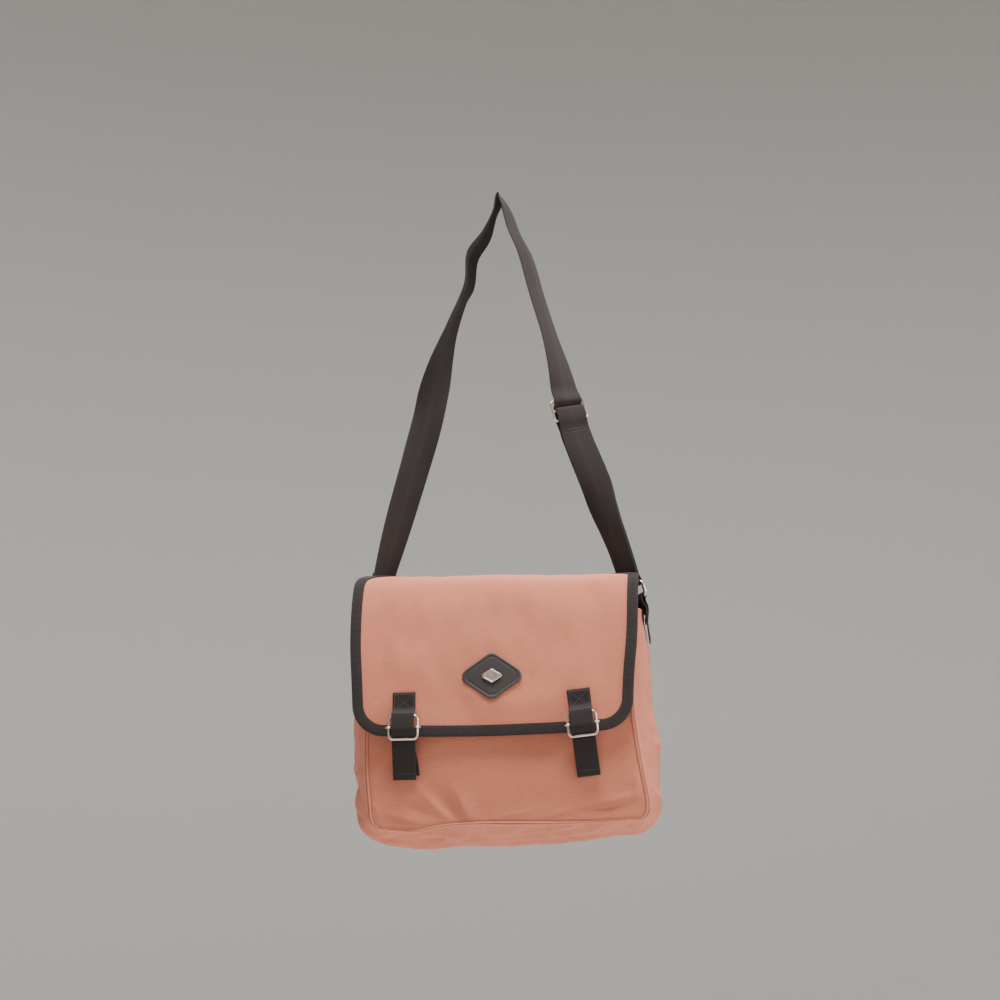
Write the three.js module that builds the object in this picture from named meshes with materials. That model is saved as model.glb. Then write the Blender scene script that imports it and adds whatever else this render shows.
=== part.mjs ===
// Canvas messenger bag, hanging by its shoulder strap.
// Millimetres, +Z up, the front faces -Y. The origin is where the strap hangs.
import * as THREE from 'three';

// Cloth, webbing, leather and the gap between pieces that touch
const canvasWall = 1.6;
const webbingWall = 1.8;
const tapeWall = 1.0;
const leatherWall = 2.0;
const clearance = 0.35;

// Bag body
const crownDrop = 503.5;
const bodyHeight = 305;
const bodyWidth = 334;
const mouthDepth = 74;
const baseDepth = 110;
const mouthInset = 46;
const baseTilt = 18;
const frontCorner = 12;
const backCorner = 30;
const mouthBack = 8;
const panelBulge = 6;
const sideBulge = 21.5;
const baseSag = 9;
const foldDepth = 5;

// Flap
const lapDepth = 28;
const flapCorner = 38;
const flapSkew = 1.5;
const flapSag = 3;
const crownRise = 5;
const bindingWidth = 11.5;

// How much wider than the tightest turn webbing runs round each wire
const wireEase = 1.12;
const tabEase = 1.16;
const ringEase = 1.15;
const sliderEase = 1.24;

// Leather patch and its metal plate
const patchWidth = 86;
const patchHeight = 61;
const patchCorner = 10;
const patchAcross = -10.5;
const patchDrop = 133;
const plateWidth = 29;
const plateHeight = 17.5;
const plateCorner = 3;
const plateWall = 1.4;

// Closures
const closureWebbing = 27.5;
const closureSewn = 21;
const closureTail = 60;
const tabSewn = 14;
const tabPlay = 1;
const tabShort = 5;
const closureLead = 6;
const closureFoot = 8;
const closureRise = 4;
const tailBend = 5;
const tabBend = 3;
const tabLean = 2;
const buckleDrop = 193;
const buckleWidth = 37;
const buckleHeight = 31;
const buckleWire = 3.4;
const buckleCorner = 5;
const barWire = 2.4;
const closures = [
  { side: 'left', across: -115, tilt: 0, shift: 5 },
  { side: 'right', across: 96, tilt: 6, shift: 0 },
];

// Shoulder strap and its metal
const strapWidth = 39;
const strapSpread = 156.5;
const strapDrop = 516.5;
const strapBack = 12;
const strapTail = 34;
const sliderDrop = 288.5;
const sliderHeight = 29;
const sliderWire = 3.4;
const sliderTail = 32;
const ringHeight = 22;
const ringWire = 4;
const ringPlay = 1.1;
const ringTabSewn = 24;
const ringTabFree = 13;
const ringTabRise = 2;

// Body at each height: shares of the height below the crown, of half the
// width, of the way from the mouth's depth to the base's, and of sideBulge
const bodySections = [
  { down: 0.00, left: 0.965, right: 0.925, spread: 0.00, leftSwell: 0.20, rightSwell: 0.50 },
  { down: 0.15, left: 0.968, right: 0.925, spread: 0.00, leftSwell: 0.25, rightSwell: 0.66 },
  { down: 0.26, left: 0.976, right: 0.928, spread: 0.42, leftSwell: 0.75, rightSwell: 0.80 },
  { down: 0.42, left: 0.976, right: 0.928, spread: 0.76, leftSwell: 0.95, rightSwell: 1.02 },
  { down: 0.58, left: 0.976, right: 0.934, spread: 0.93, leftSwell: 0.95, rightSwell: 1.04 },
  { down: 0.70, left: 0.976, right: 0.958, spread: 0.98, leftSwell: 0.94, rightSwell: 1.12 },
  { down: 0.80, left: 0.970, right: 0.985, spread: 1.00, leftSwell: 0.91, rightSwell: 0.95 },
  { down: 0.92, left: 0.951, right: 1.022, spread: 1.00, leftSwell: 0.90, rightSwell: 0.58 },
  { down: 1.00, left: 0.934, right: 1.024, spread: 1.00, leftSwell: 0.75, rightSwell: 0.30 },
];

// How far the bottom seams hang below the body height: shares of the width
// and of the base's tilt
const bottomEdge = [
  { across: 0.00, front: 0.20, back: 0.95 },
  { across: 0.12, front: 0.42, back: 1.05 },
  { across: 0.24, front: 0.10, back: 1.04 },
  { across: 0.36, front: 0.00, back: 1.02 },
  { across: 0.55, front: 0.06, back: 1.00 },
  { across: 0.80, front: 0.03, back: 0.70 },
  { across: 0.96, front: -0.10, back: 0.30 },
  { across: 1.00, front: -0.10, back: 0.20 },
];

// Folds: place, length and width are shares of the piece, depth of foldDepth
const frontFolds = [
  { across: 0.13, down: 0.95, length: 0.13, width: 0.028, angle: -12, depth: 0.60 },
  { across: 0.28, down: 0.93, length: 0.13, width: 0.030, angle: -48, depth: -0.65 },
  { across: 0.35, down: 0.93, length: 0.09, width: 0.025, angle: -60, depth: 0.50 },
  { across: 0.88, down: 0.94, length: 0.11, width: 0.028, angle: 10, depth: -0.70 },
  { across: 0.55, down: 0.84, length: 0.20, width: 0.050, angle: 20, depth: 0.35 },
];
const backFolds = [
  { across: 0.30, down: 0.70, length: 0.25, width: 0.060, angle: 25, depth: 0.60 },
  { across: 0.72, down: 0.82, length: 0.20, width: 0.050, angle: -35, depth: -0.60 },
];
const gussetFolds = [
  { across: 0.35, down: 0.36, length: 0.30, width: 0.020, angle: 70, depth: 0.80 },
  { across: 0.55, down: 0.43, length: 0.35, width: 0.022, angle: -60, depth: -0.85 },
  { across: 0.45, down: 0.58, length: 0.30, width: 0.020, angle: 62, depth: 0.75 },
  { across: 0.40, down: 0.66, length: 0.28, width: 0.018, angle: -65, depth: -0.70 },
  { across: 0.50, down: 0.24, length: 0.35, width: 0.022, angle: 80, depth: -0.60 },
  { across: 0.50, down: 0.80, length: 0.35, width: 0.022, angle: -80, depth: 0.50 },
];
const flapFolds = [
  { across: 0.20, down: 0.82, length: 0.16, width: 0.060, angle: 62, depth: 0.40 },
  { across: 0.36, down: 0.86, length: 0.16, width: 0.055, angle: -55, depth: -0.35 },
  { across: 0.72, down: 0.84, length: 0.15, width: 0.060, angle: 52, depth: 0.40 },
  { across: 0.56, down: 0.90, length: 0.18, width: 0.050, angle: 8, depth: 0.35 },
  { across: 0.88, down: 0.70, length: 0.20, width: 0.060, angle: -74, depth: -0.30 },
];

// Flap's section above the lap: shares of half the base's depth and of the
// body height below the crown
const flapSection = [
  { out: 0.62, down: 0.066 },
  { out: 0.40, down: 0.016 },
  { out: 0.04, down: 0.000 },
  { out: -0.33, down: 0.008 },
  { out: -0.65, down: 0.043 },
  { out: -0.87, down: 0.121 },
  { out: -1.04, down: 0.269 },
  { out: -1.155, down: 0.449 },
  { out: -1.236, down: 0.658 },
];
// Flap's side edges: shares of its length and of half the body's width
const flapSides = [
  { along: 0.00, left: 0.760, right: 0.760 },
  { along: 0.24, left: 0.760, right: 0.760 },
  { along: 0.28, left: 0.795, right: 0.790 },
  { along: 0.315, left: 0.915, right: 0.900 },
  { along: 0.35, left: 1.008, right: 0.975 },
  { along: 0.39, left: 1.060, right: 0.986 },
  { along: 0.44, left: 1.078, right: 0.984 },
  { along: 0.65, left: 1.083, right: 0.969 },
  { along: 0.80, left: 1.066, right: 0.940 },
  { along: 1.00, left: 1.042, right: 0.916 },
];

// Shoulder strap from the left ring over the hang point to the right ring:
// out and drop are shares of its spread and drop, turn and fold are degrees
const strapStations = [
  { out: -1.000, drop: 1.000, turn: -24, fold: 0 },
  { out: -0.969, drop: 0.960, turn: -32, fold: 0 },
  { out: -0.849, drop: 0.827, turn: -53, fold: 0 },
  { out: -0.716, drop: 0.688, turn: -65, fold: 0 },
  { out: -0.614, drop: 0.575, turn: -84, fold: 0 },
  { out: -0.571, drop: 0.514, turn: -75, fold: 0 },
  { out: -0.513, drop: 0.443, turn: -46, fold: 0 },
  { out: -0.457, drop: 0.371, turn: -21, fold: 4 },
  { out: -0.425, drop: 0.334, turn: -13, fold: 6 },
  { out: -0.336, drop: 0.262, turn: -4, fold: 6 },
  { out: -0.292, drop: 0.225, turn: -12, fold: 8 },
  { out: -0.262, drop: 0.151, turn: -16, fold: 8 },
  { out: -0.146, drop: 0.097, turn: -9, fold: 8 },
  { out: -0.072, drop: 0.044, turn: 2, fold: 6 },
  { out: -0.041, drop: 0.019, turn: -3, fold: 4 },
  { out: -0.018, drop: 0.004, turn: -8, fold: 4 },
  { out: 0.000, drop: 0.000, turn: -10, fold: 4 },
  { out: 0.020, drop: 0.005, turn: -12, fold: 4 },
  { out: 0.047, drop: 0.017, turn: -16, fold: 4 },
  { out: 0.080, drop: 0.036, turn: -19, fold: 6 },
  { out: 0.138, drop: 0.088, turn: -24, fold: 8 },
  { out: 0.223, drop: 0.148, turn: -28, fold: 8 },
  { out: 0.314, drop: 0.262, turn: -29, fold: 6 },
  { out: 0.413, drop: 0.376, turn: -31, fold: 4 },
  { out: 0.468, drop: 0.459, turn: -45, fold: 0 },
  { out: 0.519, drop: 0.537, turn: -63, fold: 0 },
  { out: 0.609, drop: 0.640, turn: -73, fold: 0 },
  { out: 0.739, drop: 0.747, turn: -98, fold: 0 },
  { out: 0.804, drop: 0.816, turn: -122, fold: 0 },
  { out: 0.883, drop: 0.882, turn: -136, fold: 0 },
  { out: 0.968, drop: 0.966, turn: -141, fold: 0 },
  { out: 1.000, drop: 1.000, turn: -144, fold: 0 },
];

// Mesh counts
const panelColumns = 20;
const panelRows = 12;
const cornerSteps = 3;
const gussetColumns = 8;
const flapColumns = 14;
const flapRows = 22;
const flapCornerSteps = 5;
const wireSides = 6;
const wireCornerSteps = 3;
const loopSteps = 6;
const strapSteps = 84;
const patchSteps = 4;

const material = (color, roughness, metalness = 0) => (
  new THREE.MeshStandardMaterial({ color, roughness, metalness })
);
const canvas = material(0xc08272, 0.95);
const webbing = material(0x3a2f2d, 0.9);
const leather = material(0x2b2322, 0.6);
const metal = material(0xc9b3a4, 0.35, 1);

const radians = THREE.MathUtils.degToRad;
const mix = THREE.MathUtils.lerp;
const point = (x, y, z) => new THREE.Vector3(x, y, z);
const moved = (from, ...steps) => {
  const result = from.clone();
  steps.forEach(([direction, distance]) => result.addScaledVector(direction, distance));
  return result;
};

// Reads a column of a table at a place, smoothly between its rows
function read(table, key, place, column) {
  const last = table.length - 1;
  if (place <= table[0][key]) return table[0][column];
  if (place >= table[last][key]) return table[last][column];
  let row = 0;
  while (place > table[row + 1][key]) row += 1;
  const [a, b] = [table[row], table[row + 1]];
  const before = table[Math.max(row - 1, 0)];
  const after = table[Math.min(row + 2, last)];
  const span = b[key] - a[key];
  const t = (place - a[key]) / span;
  const leave = (b[column] - before[column]) / (b[key] - before[key]) * span;
  const arrive = (after[column] - a[column]) / (after[key] - a[key]) * span;
  return (1 + 2 * t) * (1 - t) ** 2 * a[column] + t * (1 - t) ** 2 * leave
    + t * t * (3 - 2 * t) * b[column] + t * t * (t - 1) * arrive;
}

// Height of the folds of a table at a place, each a ridge that fades out
function folds(table, across, down, aspect) {
  return table.reduce((sum, fold) => {
    const angle = radians(fold.angle);
    const x = across - fold.across;
    const y = (down - fold.down) * aspect;
    const along = (x * Math.cos(angle) - y * Math.sin(angle)) / fold.length;
    const beside = (x * Math.sin(angle) + y * Math.cos(angle)) / fold.width;
    return sum + fold.depth * foldDepth * Math.exp(-along * along - beside * beside);
  }, 0);
}

// A named mesh from corners and faces, turned so that its faces point out
function solid(name, corners, faces, finish) {
  const triangles = [];
  faces.forEach((face) => {
    for (let i = 1; i < face.length - 1; i += 1) triangles.push(face[0], face[i], face[i + 1]);
  });
  let volume = 0;
  for (let i = 0; i < triangles.length; i += 3) {
    const [a, b, c] = [corners[triangles[i]], corners[triangles[i + 1]], corners[triangles[i + 2]]];
    volume += a.dot(point(0, 0, 0).crossVectors(b, c));
  }
  if (volume < 0) triangles.reverse();
  const geometry = new THREE.BufferGeometry().setFromPoints(corners);
  geometry.setIndex(triangles);
  geometry.computeVertexNormals();
  const mesh = new THREE.Mesh(geometry, finish);
  mesh.name = name;
  return mesh;
}

// A closed wall between two offsets of one surface, with a rim round its border
function wall(name, surface, front, back, finish) {
  const { points, normals, faces } = surface;
  const count = points.length;
  const corners = [
    ...points.map((p, i) => moved(p, [normals[i], front])),
    ...points.map((p, i) => moved(p, [normals[i], back])),
  ];
  const edges = new Map();
  faces.forEach((face) => face.forEach((a, i) => {
    const b = face[(i + 1) % face.length];
    if (!edges.delete(`${b} ${a}`)) edges.set(`${a} ${b}`, [a, b]);
  }));
  const rim = [...edges.values()].map(([a, b]) => [b, a, a + count, b + count]);
  const inner = faces.map((face) => face.map((i) => i + count).reverse());
  return solid(name, corners, [...faces, ...inner, ...rim], finish);
}

// Faces of a grid of points, row by row
function gridFaces(rows, columns, first = 0) {
  const faces = [];
  for (let r = 0; r < rows; r += 1) {
    for (let c = 0; c < columns; c += 1) {
      const a = first + r * (columns + 1) + c;
      faces.push([a, a + columns + 1, a + columns + 2, a + 1]);
    }
  }
  return faces;
}

// Normals of a grid of points, from the points beside each
function gridNormals(points, rows, columns) {
  const at = (r, c) => points[r * (columns + 1) + c];
  return points.map((_, i) => {
    const r = Math.floor(i / (columns + 1));
    const c = i % (columns + 1);
    const down = at(Math.min(r + 1, rows), c).clone().sub(at(Math.max(r - 1, 0), c));
    const right = at(r, Math.min(c + 1, columns)).clone().sub(at(r, Math.max(c - 1, 0)));
    return down.cross(right).normalize();
  });
}

// A solid swept through rings of points, closed on itself or with end caps
function sweep(name, rings, finish, { closed = false, cap = null } = {}) {
  const sides = rings[0].length;
  const faces = [];
  const spans = closed ? rings.length : rings.length - 1;
  for (let r = 0; r < spans; r += 1) {
    const next = (r + 1) % rings.length;
    for (let s = 0; s < sides; s += 1) {
      const t = (s + 1) % sides;
      faces.push([r * sides + s, r * sides + t, next * sides + t, next * sides + s]);
    }
  }
  if (!closed) {
    const end = (rings.length - 1) * sides;
    const polygons = cap ?? [rings[0].map((_, i) => i)];
    polygons.forEach((polygon) => {
      faces.push([...polygon].reverse());
      faces.push(polygon.map((i) => i + end));
    });
  }
  return solid(name, rings.flat(), faces, finish);
}

// A round wire along a path that lies in one plane
function wire(name, path, across, diameter, closed, finish) {
  const rings = path.map((here, i) => {
    const next = closed ? path[(i + 1) % path.length] : path[Math.min(i + 1, path.length - 1)];
    const before = closed ? path[(i + path.length - 1) % path.length] : path[Math.max(i - 1, 0)];
    const side = next.clone().sub(before).normalize().cross(across).normalize();
    return Array.from({ length: wireSides }, (_, k) => {
      const angle = (k + 0.5) / wireSides * 2 * Math.PI;
      const radius = diameter / 2;
      return moved(here, [side, radius * Math.cos(angle)], [across, radius * Math.sin(angle)]);
    });
  });
  return sweep(name, rings, finish, { closed });
}

// Centre line of a rounded rectangular ring, in a frame of its own
function ringPath(centre, wide, tall, width, height, radius) {
  const path = [];
  for (let corner = 0; corner < 4; corner += 1) {
    const signX = corner === 0 || corner === 3 ? 1 : -1;
    const signY = corner < 2 ? 1 : -1;
    for (let step = 0; step <= wireCornerSteps; step += 1) {
      const angle = (corner + step / wireCornerSteps) * Math.PI / 2;
      const x = signX * (width / 2 - radius) + radius * Math.cos(angle);
      const y = signY * (height / 2 - radius) + radius * Math.sin(angle);
      path.push(moved(centre, [wide, x], [tall, y]));
    }
  }
  return path;
}

// A flat band through stations of point, width direction, face normal and fold
function band(name, stations, width, finish) {
  const rings = stations.map(({ at, wide, face, fold = 0 }) => {
    const reach = width / 2 * Math.cos(fold);
    const lift = width / 2 * Math.sin(fold);
    const half = webbingWall / 2;
    const rims = [-1, 0, 1].map((side) => ({
      middle: moved(at, [wide, side * reach], [face, side === 0 ? 0 : lift]),
      out: side === 0
        ? face.clone().divideScalar(Math.cos(fold))
        : moved(face.clone().multiplyScalar(Math.cos(fold)), [wide, -side * Math.sin(fold)]),
    }));
    const top = rims.map(({ middle, out }) => moved(middle, [out, half]));
    const under = rims.map(({ middle, out }) => moved(middle, [out, -half])).reverse();
    return [...top, ...under];
  });
  return sweep(name, rings, finish, { cap: [[0, 1, 4, 5], [1, 2, 3, 4]] });
}

// Body: edges, depth and surfaces of the front and back walls
const shareDown = (z) => (-crownDrop - z) / bodyHeight;
const zAtShare = (down) => -crownDrop - down * bodyHeight;
const edgeX = (side, down) => (
  (side === 'left' ? -1 : 1) * read(bodySections, 'down', down, side) * bodyWidth / 2
);
const halfDepth = (down) => (
  mix(mouthDepth, baseDepth, read(bodySections, 'down', down, 'spread')) / 2
);
const swell = (side, down) => sideBulge * read(bodySections, 'down', down, `${side}Swell`);
const middleY = (down) => mouthBack * (1 - read(bodySections, 'down', down, 'spread'));

// Distance of the front or back wall from the middle of the body
function wallOut(wallSide, x, z) {
  const down = shareDown(z);
  const [left, right] = [edgeX('left', down), edgeX('right', down)];
  const across = THREE.MathUtils.clamp((x - left) / (right - left), 0, 1);
  const rise = THREE.MathUtils.clamp((down - 0.25) / 0.78, 0, 1);
  const belly = panelBulge * Math.sin(Math.PI * across) * Math.sin(Math.PI * rise);
  const table = wallSide === 'front' ? frontFolds : backFolds;
  const fade = Math.sin(Math.PI * across) * Math.sin(Math.PI * rise) ** 0.5;
  return halfDepth(down) + belly + fade * folds(table, across, down, bodyHeight / bodyWidth);
}

// Rows of a panel: straight rows, closer towards the base, then the corner's arc
const panelLines = [
  ...Array.from({ length: panelRows + 1 }, (_, i) => (
    { straight: 1 - (1 - i / panelRows) ** 1.4, angle: 0 }
  )),
  ...Array.from({ length: cornerSteps }, (_, i) => (
    { straight: 1, angle: (i + 1) / cornerSteps * Math.PI / 2 }
  )),
];

function panelSurface(wallSide) {
  const sign = wallSide === 'front' ? -1 : 1;
  const corner = wallSide === 'front' ? frontCorner : backCorner;
  const rows = panelLines.map(({ straight, angle }) => (
    Array.from({ length: panelColumns + 1 }, (_, column) => {
      const across = column / panelColumns;
      const drop = bodyHeight + baseTilt * read(bottomEdge, 'across', across, wallSide);
      const below = corner * Math.sin(angle);
      const depth = mouthInset + straight * (drop - mouthInset - corner) + below;
      const level = mouthInset + straight * (bodyHeight - mouthInset - corner) + below;
      const inset = corner * (1 - Math.cos(angle));
      const down = level / bodyHeight;
      const x = mix(edgeX('left', down) + inset, edgeX('right', down) - inset, across);
      const z = -crownDrop - depth;
      return point(x, middleY(down) + sign * wallOut(wallSide, x, zAtShare(down)), z);
    })
  ));
  const points = rows.flat();
  const lines = panelLines.length - 1;
  const normals = gridNormals(points, lines, panelColumns);
  const border = [
    ...rows.map((row) => row[0]),
    ...rows[lines].slice(1, -1),
    ...rows.map((row) => row[panelColumns]).reverse(),
  ];
  return { points, normals, faces: gridFaces(lines, panelColumns), border };
}

const frontSurface = panelSurface('front');
const backSurface = panelSurface('back');
const frontPanel = wall('front_panel', frontSurface, canvasWall / 2, -canvasWall / 2, canvas);
const backPanel = wall('back_panel', backSurface, canvasWall / 2, -canvasWall / 2, canvas);

// Side and bottom wall: one strip from the front seam to the back seam
function gussetSurface() {
  const { border } = frontSurface;
  const last = border.length - 1;
  const setback = canvasWall / 2 + clearance * 2;
  const points = [];
  border.forEach((front, i) => {
    const back = backSurface.border[i];
    const run = border[Math.min(i + 1, last)].clone().sub(border[Math.max(i - 1, 0)]);
    const outward = point(run.z, 0, -run.x).normalize();
    const side = outward.x * outward.x;
    const bulge = mix(baseSag, swell(outward.x < 0 ? 'left' : 'right', shareDown(front.z)), side);
    for (let column = 0; column <= gussetColumns; column += 1) {
      const across = column / gussetColumns;
      const arch = Math.sin(Math.PI * across) ** 0.85;
      const crease = Math.sin(Math.PI * across) * folds(gussetFolds, across, i / last, 1);
      const lift = bulge * arch + crease - canvasWall / 2;
      const y = mix(front.y + setback, back.y - setback, across);
      const middle = front.clone().lerp(back, across).setY(y);
      points.push(moved(middle, [outward, lift]));
    }
  });
  const normals = gridNormals(points, last, gussetColumns);
  return { points, normals, faces: gridFaces(last, gussetColumns) };
}

const gusset = wall('gusset', gussetSurface(), canvasWall / 2, -canvasWall / 2, canvas);

// Flap: its section from the lap on the back wall, over the crown, to the front
const lapTop = mouthInset / bodyHeight;
const lapEnd = (mouthInset + lapDepth) / bodyHeight;
const lapOut = (down) => (
  middleY(down) + halfDepth(down) + canvasWall + 4 * clearance + tapeWall
);
const flapCurve = new THREE.CatmullRomCurve3([
  point(0, lapOut(lapEnd), zAtShare(lapEnd)),
  point(0, lapOut(lapTop), zAtShare(lapTop)),
  ...flapSection.map(({ out, down }) => point(0, out * baseDepth / 2, zAtShare(down))),
], false, 'centripetal');
flapCurve.arcLengthDivisions = 400;
const flapLength = flapCurve.getLength();
// The crown is a little higher at the left: its place and reach along the flap
const crownShare = 0.34;
const crownReach = 0.12;

const flapEdge = (side, along) => (
  (side === 'left' ? -1 : 1) * read(flapSides, 'along', along / flapLength, side) * bodyWidth / 2
);

// A point of the flap's middle surface, from its place across and along the cloth
function flapPoint(x, along) {
  const share = THREE.MathUtils.clamp(along / flapLength, 0, 1);
  const here = flapCurve.getPointAt(share);
  const run = flapCurve.getTangentAt(share);
  const across = (x - flapEdge('left', along)) / (flapEdge('right', along) - flapEdge('left', along));
  const lift = folds(flapFolds, across, share, flapLength / bodyWidth);
  const beyond = along - share * flapLength;
  const rise = crownRise * (0.5 - across) * Math.exp(-(((share - crownShare) / crownReach) ** 2));
  const level = here.z + run.z * beyond - run.y * lift + rise;
  return point(x, here.y + run.y * beyond + run.z * lift, level);
}

function flapNormal(x, along) {
  const step = 1;
  const run = flapPoint(x, along + step).sub(flapPoint(x, along - step));
  const side = flapPoint(x + step, along).sub(flapPoint(x - step, along));
  return run.cross(side).normalize();
}

// Outline of the flap on the flat cloth: left side, corner, bottom, corner, right side
function flapOutline() {
  const ends = { left: flapLength, right: flapLength - flapSkew };
  const side = (name) => {
    const inward = name === 'left' ? 1 : -1;
    const straight = ends[name] - flapCorner;
    const rows = Array.from({ length: flapRows + 1 }, (_, i) => {
      const along = straight * i / flapRows;
      return { x: flapEdge(name, along), along };
    });
    const corner = Array.from({ length: flapCornerSteps }, (_, i) => {
      const angle = (i + 1) / flapCornerSteps * Math.PI / 2;
      const x = flapEdge(name, straight) + inward * flapCorner * (1 - Math.cos(angle));
      return { x, along: straight + flapCorner * Math.sin(angle) };
    });
    return [...rows, ...corner];
  };
  const [left, right] = [side('left'), side('right')];
  const [from, to] = [left.at(-1), right.at(-1)];
  const bottom = Array.from({ length: flapColumns - 1 }, (_, i) => {
    const across = (i + 1) / flapColumns;
    const sag = flapSag * 4 * across * (1 - across);
    return { x: mix(from.x, to.x, across), along: mix(from.along, to.along, across) + sag };
  });
  return [...left, ...bottom, ...right.reverse()];
}

const outline = flapOutline();
const inwards = outline.map((_, i) => {
  const a = outline[Math.max(i - 1, 0)];
  const b = outline[Math.min(i + 1, outline.length - 1)];
  const length = Math.hypot(b.x - a.x, b.along - a.along);
  return { x: (b.along - a.along) / length, along: -(b.x - a.x) / length };
});
const flapInset = (i, distance) => ({
  x: outline[i].x + inwards[i].x * distance,
  along: outline[i].along + inwards[i].along * distance,
});

// Flap's surface: a grid inside the binding's inner edge, and the bound border
function flapSurface() {
  const lines = flapRows + flapCornerSteps;
  const last = outline.length - 1;
  const bound = Array.from({ length: flapColumns + 1 }, (_, column) => (
    flapInset(lines + column, bindingWidth)
  ));
  const [low, high] = [bound[0], bound[flapColumns]];
  const places = [];
  for (let row = 0; row <= lines; row += 1) {
    const [from, to] = [flapInset(row, bindingWidth), flapInset(last - row, bindingWidth)];
    for (let column = 0; column <= flapColumns; column += 1) {
      const across = column / flapColumns;
      const settle = (row / lines) ** 3;
      places.push({
        x: mix(from.x, to.x, across) + settle * (bound[column].x - mix(low.x, high.x, across)),
        along: mix(from.along, to.along, across)
          + settle * (bound[column].along - mix(low.along, high.along, across)),
      });
    }
  }
  const faces = gridFaces(lines, flapColumns);
  const inner = outline.map((_, i) => {
    if (i <= lines) return i * (flapColumns + 1);
    if (i < lines + flapColumns) return lines * (flapColumns + 1) + i - lines;
    return (last - i) * (flapColumns + 1) + flapColumns;
  });
  const first = places.length;
  outline.forEach((place, i) => {
    places.push(place);
    if (i < last) faces.push([first + i, first + i + 1, inner[i + 1], inner[i]]);
  });
  return {
    points: places.map(({ x, along }) => flapPoint(x, along)),
    normals: places.map(({ x, along }) => flapNormal(x, along)),
    faces,
  };
}

const flap = wall('flap', flapSurface(), canvasWall / 2, -canvasWall / 2, canvas);

// Binding: tape folded round the flap's border
function bindingRings() {
  const near = canvasWall / 2 + clearance;
  const far = near + tapeWall;
  const section = [
    [bindingWidth, far], [-clearance - tapeWall, far],
    [-clearance - tapeWall, -far], [bindingWidth, -far],
    [bindingWidth, -near], [-clearance, -near],
    [-clearance, near], [bindingWidth, near],
  ];
  return outline.map((_, i) => section.map(([inward, lift]) => {
    const edge = flapInset(i, Math.max(inward, 0));
    const normal = flapNormal(edge.x, edge.along);
    const here = flapPoint(edge.x, edge.along);
    const rim = flapPoint(outline[i].x, outline[i].along);
    const inside = flapInset(i, bindingWidth);
    const outward = rim.clone().sub(flapPoint(inside.x, inside.along)).normalize();
    return moved(here, [outward, Math.max(-inward, 0)], [normal, lift]);
  }));
}

const flapBinding = sweep('flap_binding', bindingRings(), webbing, {
  cap: [[0, 1, 6, 7], [1, 2, 5, 6], [2, 3, 4, 5]],
});

// Place along the flap of a distance below the crown, on its front
function flapAlong(drop) {
  let [low, high] = [flapLength * 0.35, flapLength];
  for (let step = 0; step < 30; step += 1) {
    const middle = (low + high) / 2;
    if (flapCurve.getPointAt(middle / flapLength).z > -crownDrop - drop) low = middle;
    else high = middle;
  }
  return (low + high) / 2;
}

// A rhombus with rounded corners, in steps round it
function rhombus(width, height, radius) {
  const [a, b] = [width / 2, height / 2];
  const lean = Math.atan2(b, a);
  const corners = [[a, 0, lean], [0, b, Math.PI / 2 - lean], [-a, 0, lean], [0, -b, Math.PI / 2 - lean]];
  return corners.flatMap(([x, y, half], i) => {
    const centre = 1 - radius / Math.sin(half) / Math.hypot(x, y);
    const middle = i * Math.PI / 2;
    const sweepAngle = Math.PI / 2 - half;
    return Array.from({ length: patchSteps + 1 }, (_, step) => {
      const angle = middle + mix(-sweepAngle, sweepAngle, step / patchSteps);
      return [x * centre + radius * Math.cos(angle), y * centre + radius * Math.sin(angle)];
    });
  });
}

// A rhombus laid on the flap's face between two heights above its cloth
function inlay(name, width, height, radius, under, top, finish) {
  const shape = rhombus(width, height, radius);
  const scales = [0.35, 0.7, 1];
  const centre = flapAlong(patchDrop);
  const places = [[0, 0], ...scales.flatMap((scale) => shape.map(([x, y]) => [x * scale, y * scale]))];
  const count = shape.length;
  const faces = [];
  shape.forEach((_, i) => {
    const j = (i + 1) % count;
    faces.push([0, 1 + i, 1 + j]);
    for (let ring = 0; ring < scales.length - 1; ring += 1) {
      const [a, b] = [1 + ring * count, 1 + (ring + 1) * count];
      faces.push([a + i, b + i, b + j, a + j]);
    }
  });
  const surface = {
    points: places.map(([x, y]) => flapPoint(patchAcross + x, centre - y)),
    normals: places.map(([x, y]) => flapNormal(patchAcross + x, centre - y)),
    faces,
  };
  return wall(name, surface, top, under, finish);
}

const patchUnder = canvasWall / 2 + clearance * 1.5;
const patchTop = patchUnder + leatherWall;
const plateUnder = patchTop + clearance;
const diamondPatch = inlay(
  'diamond_patch', patchWidth, patchHeight, patchCorner, patchUnder, patchTop, leather,
);
const diamondPlate = inlay(
  'diamond_plate', plateWidth, plateHeight, plateCorner, plateUnder, plateUnder + plateWall, metal,
);

// Closures: straps, tabs and buckles, each in a frame that hangs from its place
const layer = webbingWall + clearance * 1.2;
const bindingFace = clearance + tapeWall;
const tabOut = bindingFace + clearance + webbingWall / 2;
const tailOut = tabOut + layer;
const buckleOut = tailOut + webbingWall / 2 + clearance + buckleWire / 2;
const barLoop = barWire / 2 + clearance + webbingWall / 2;
const strapOver = buckleOut + barLoop + layer;
const wireOver = buckleOut + buckleWire / 2 + clearance + webbingWall / 2;

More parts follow.
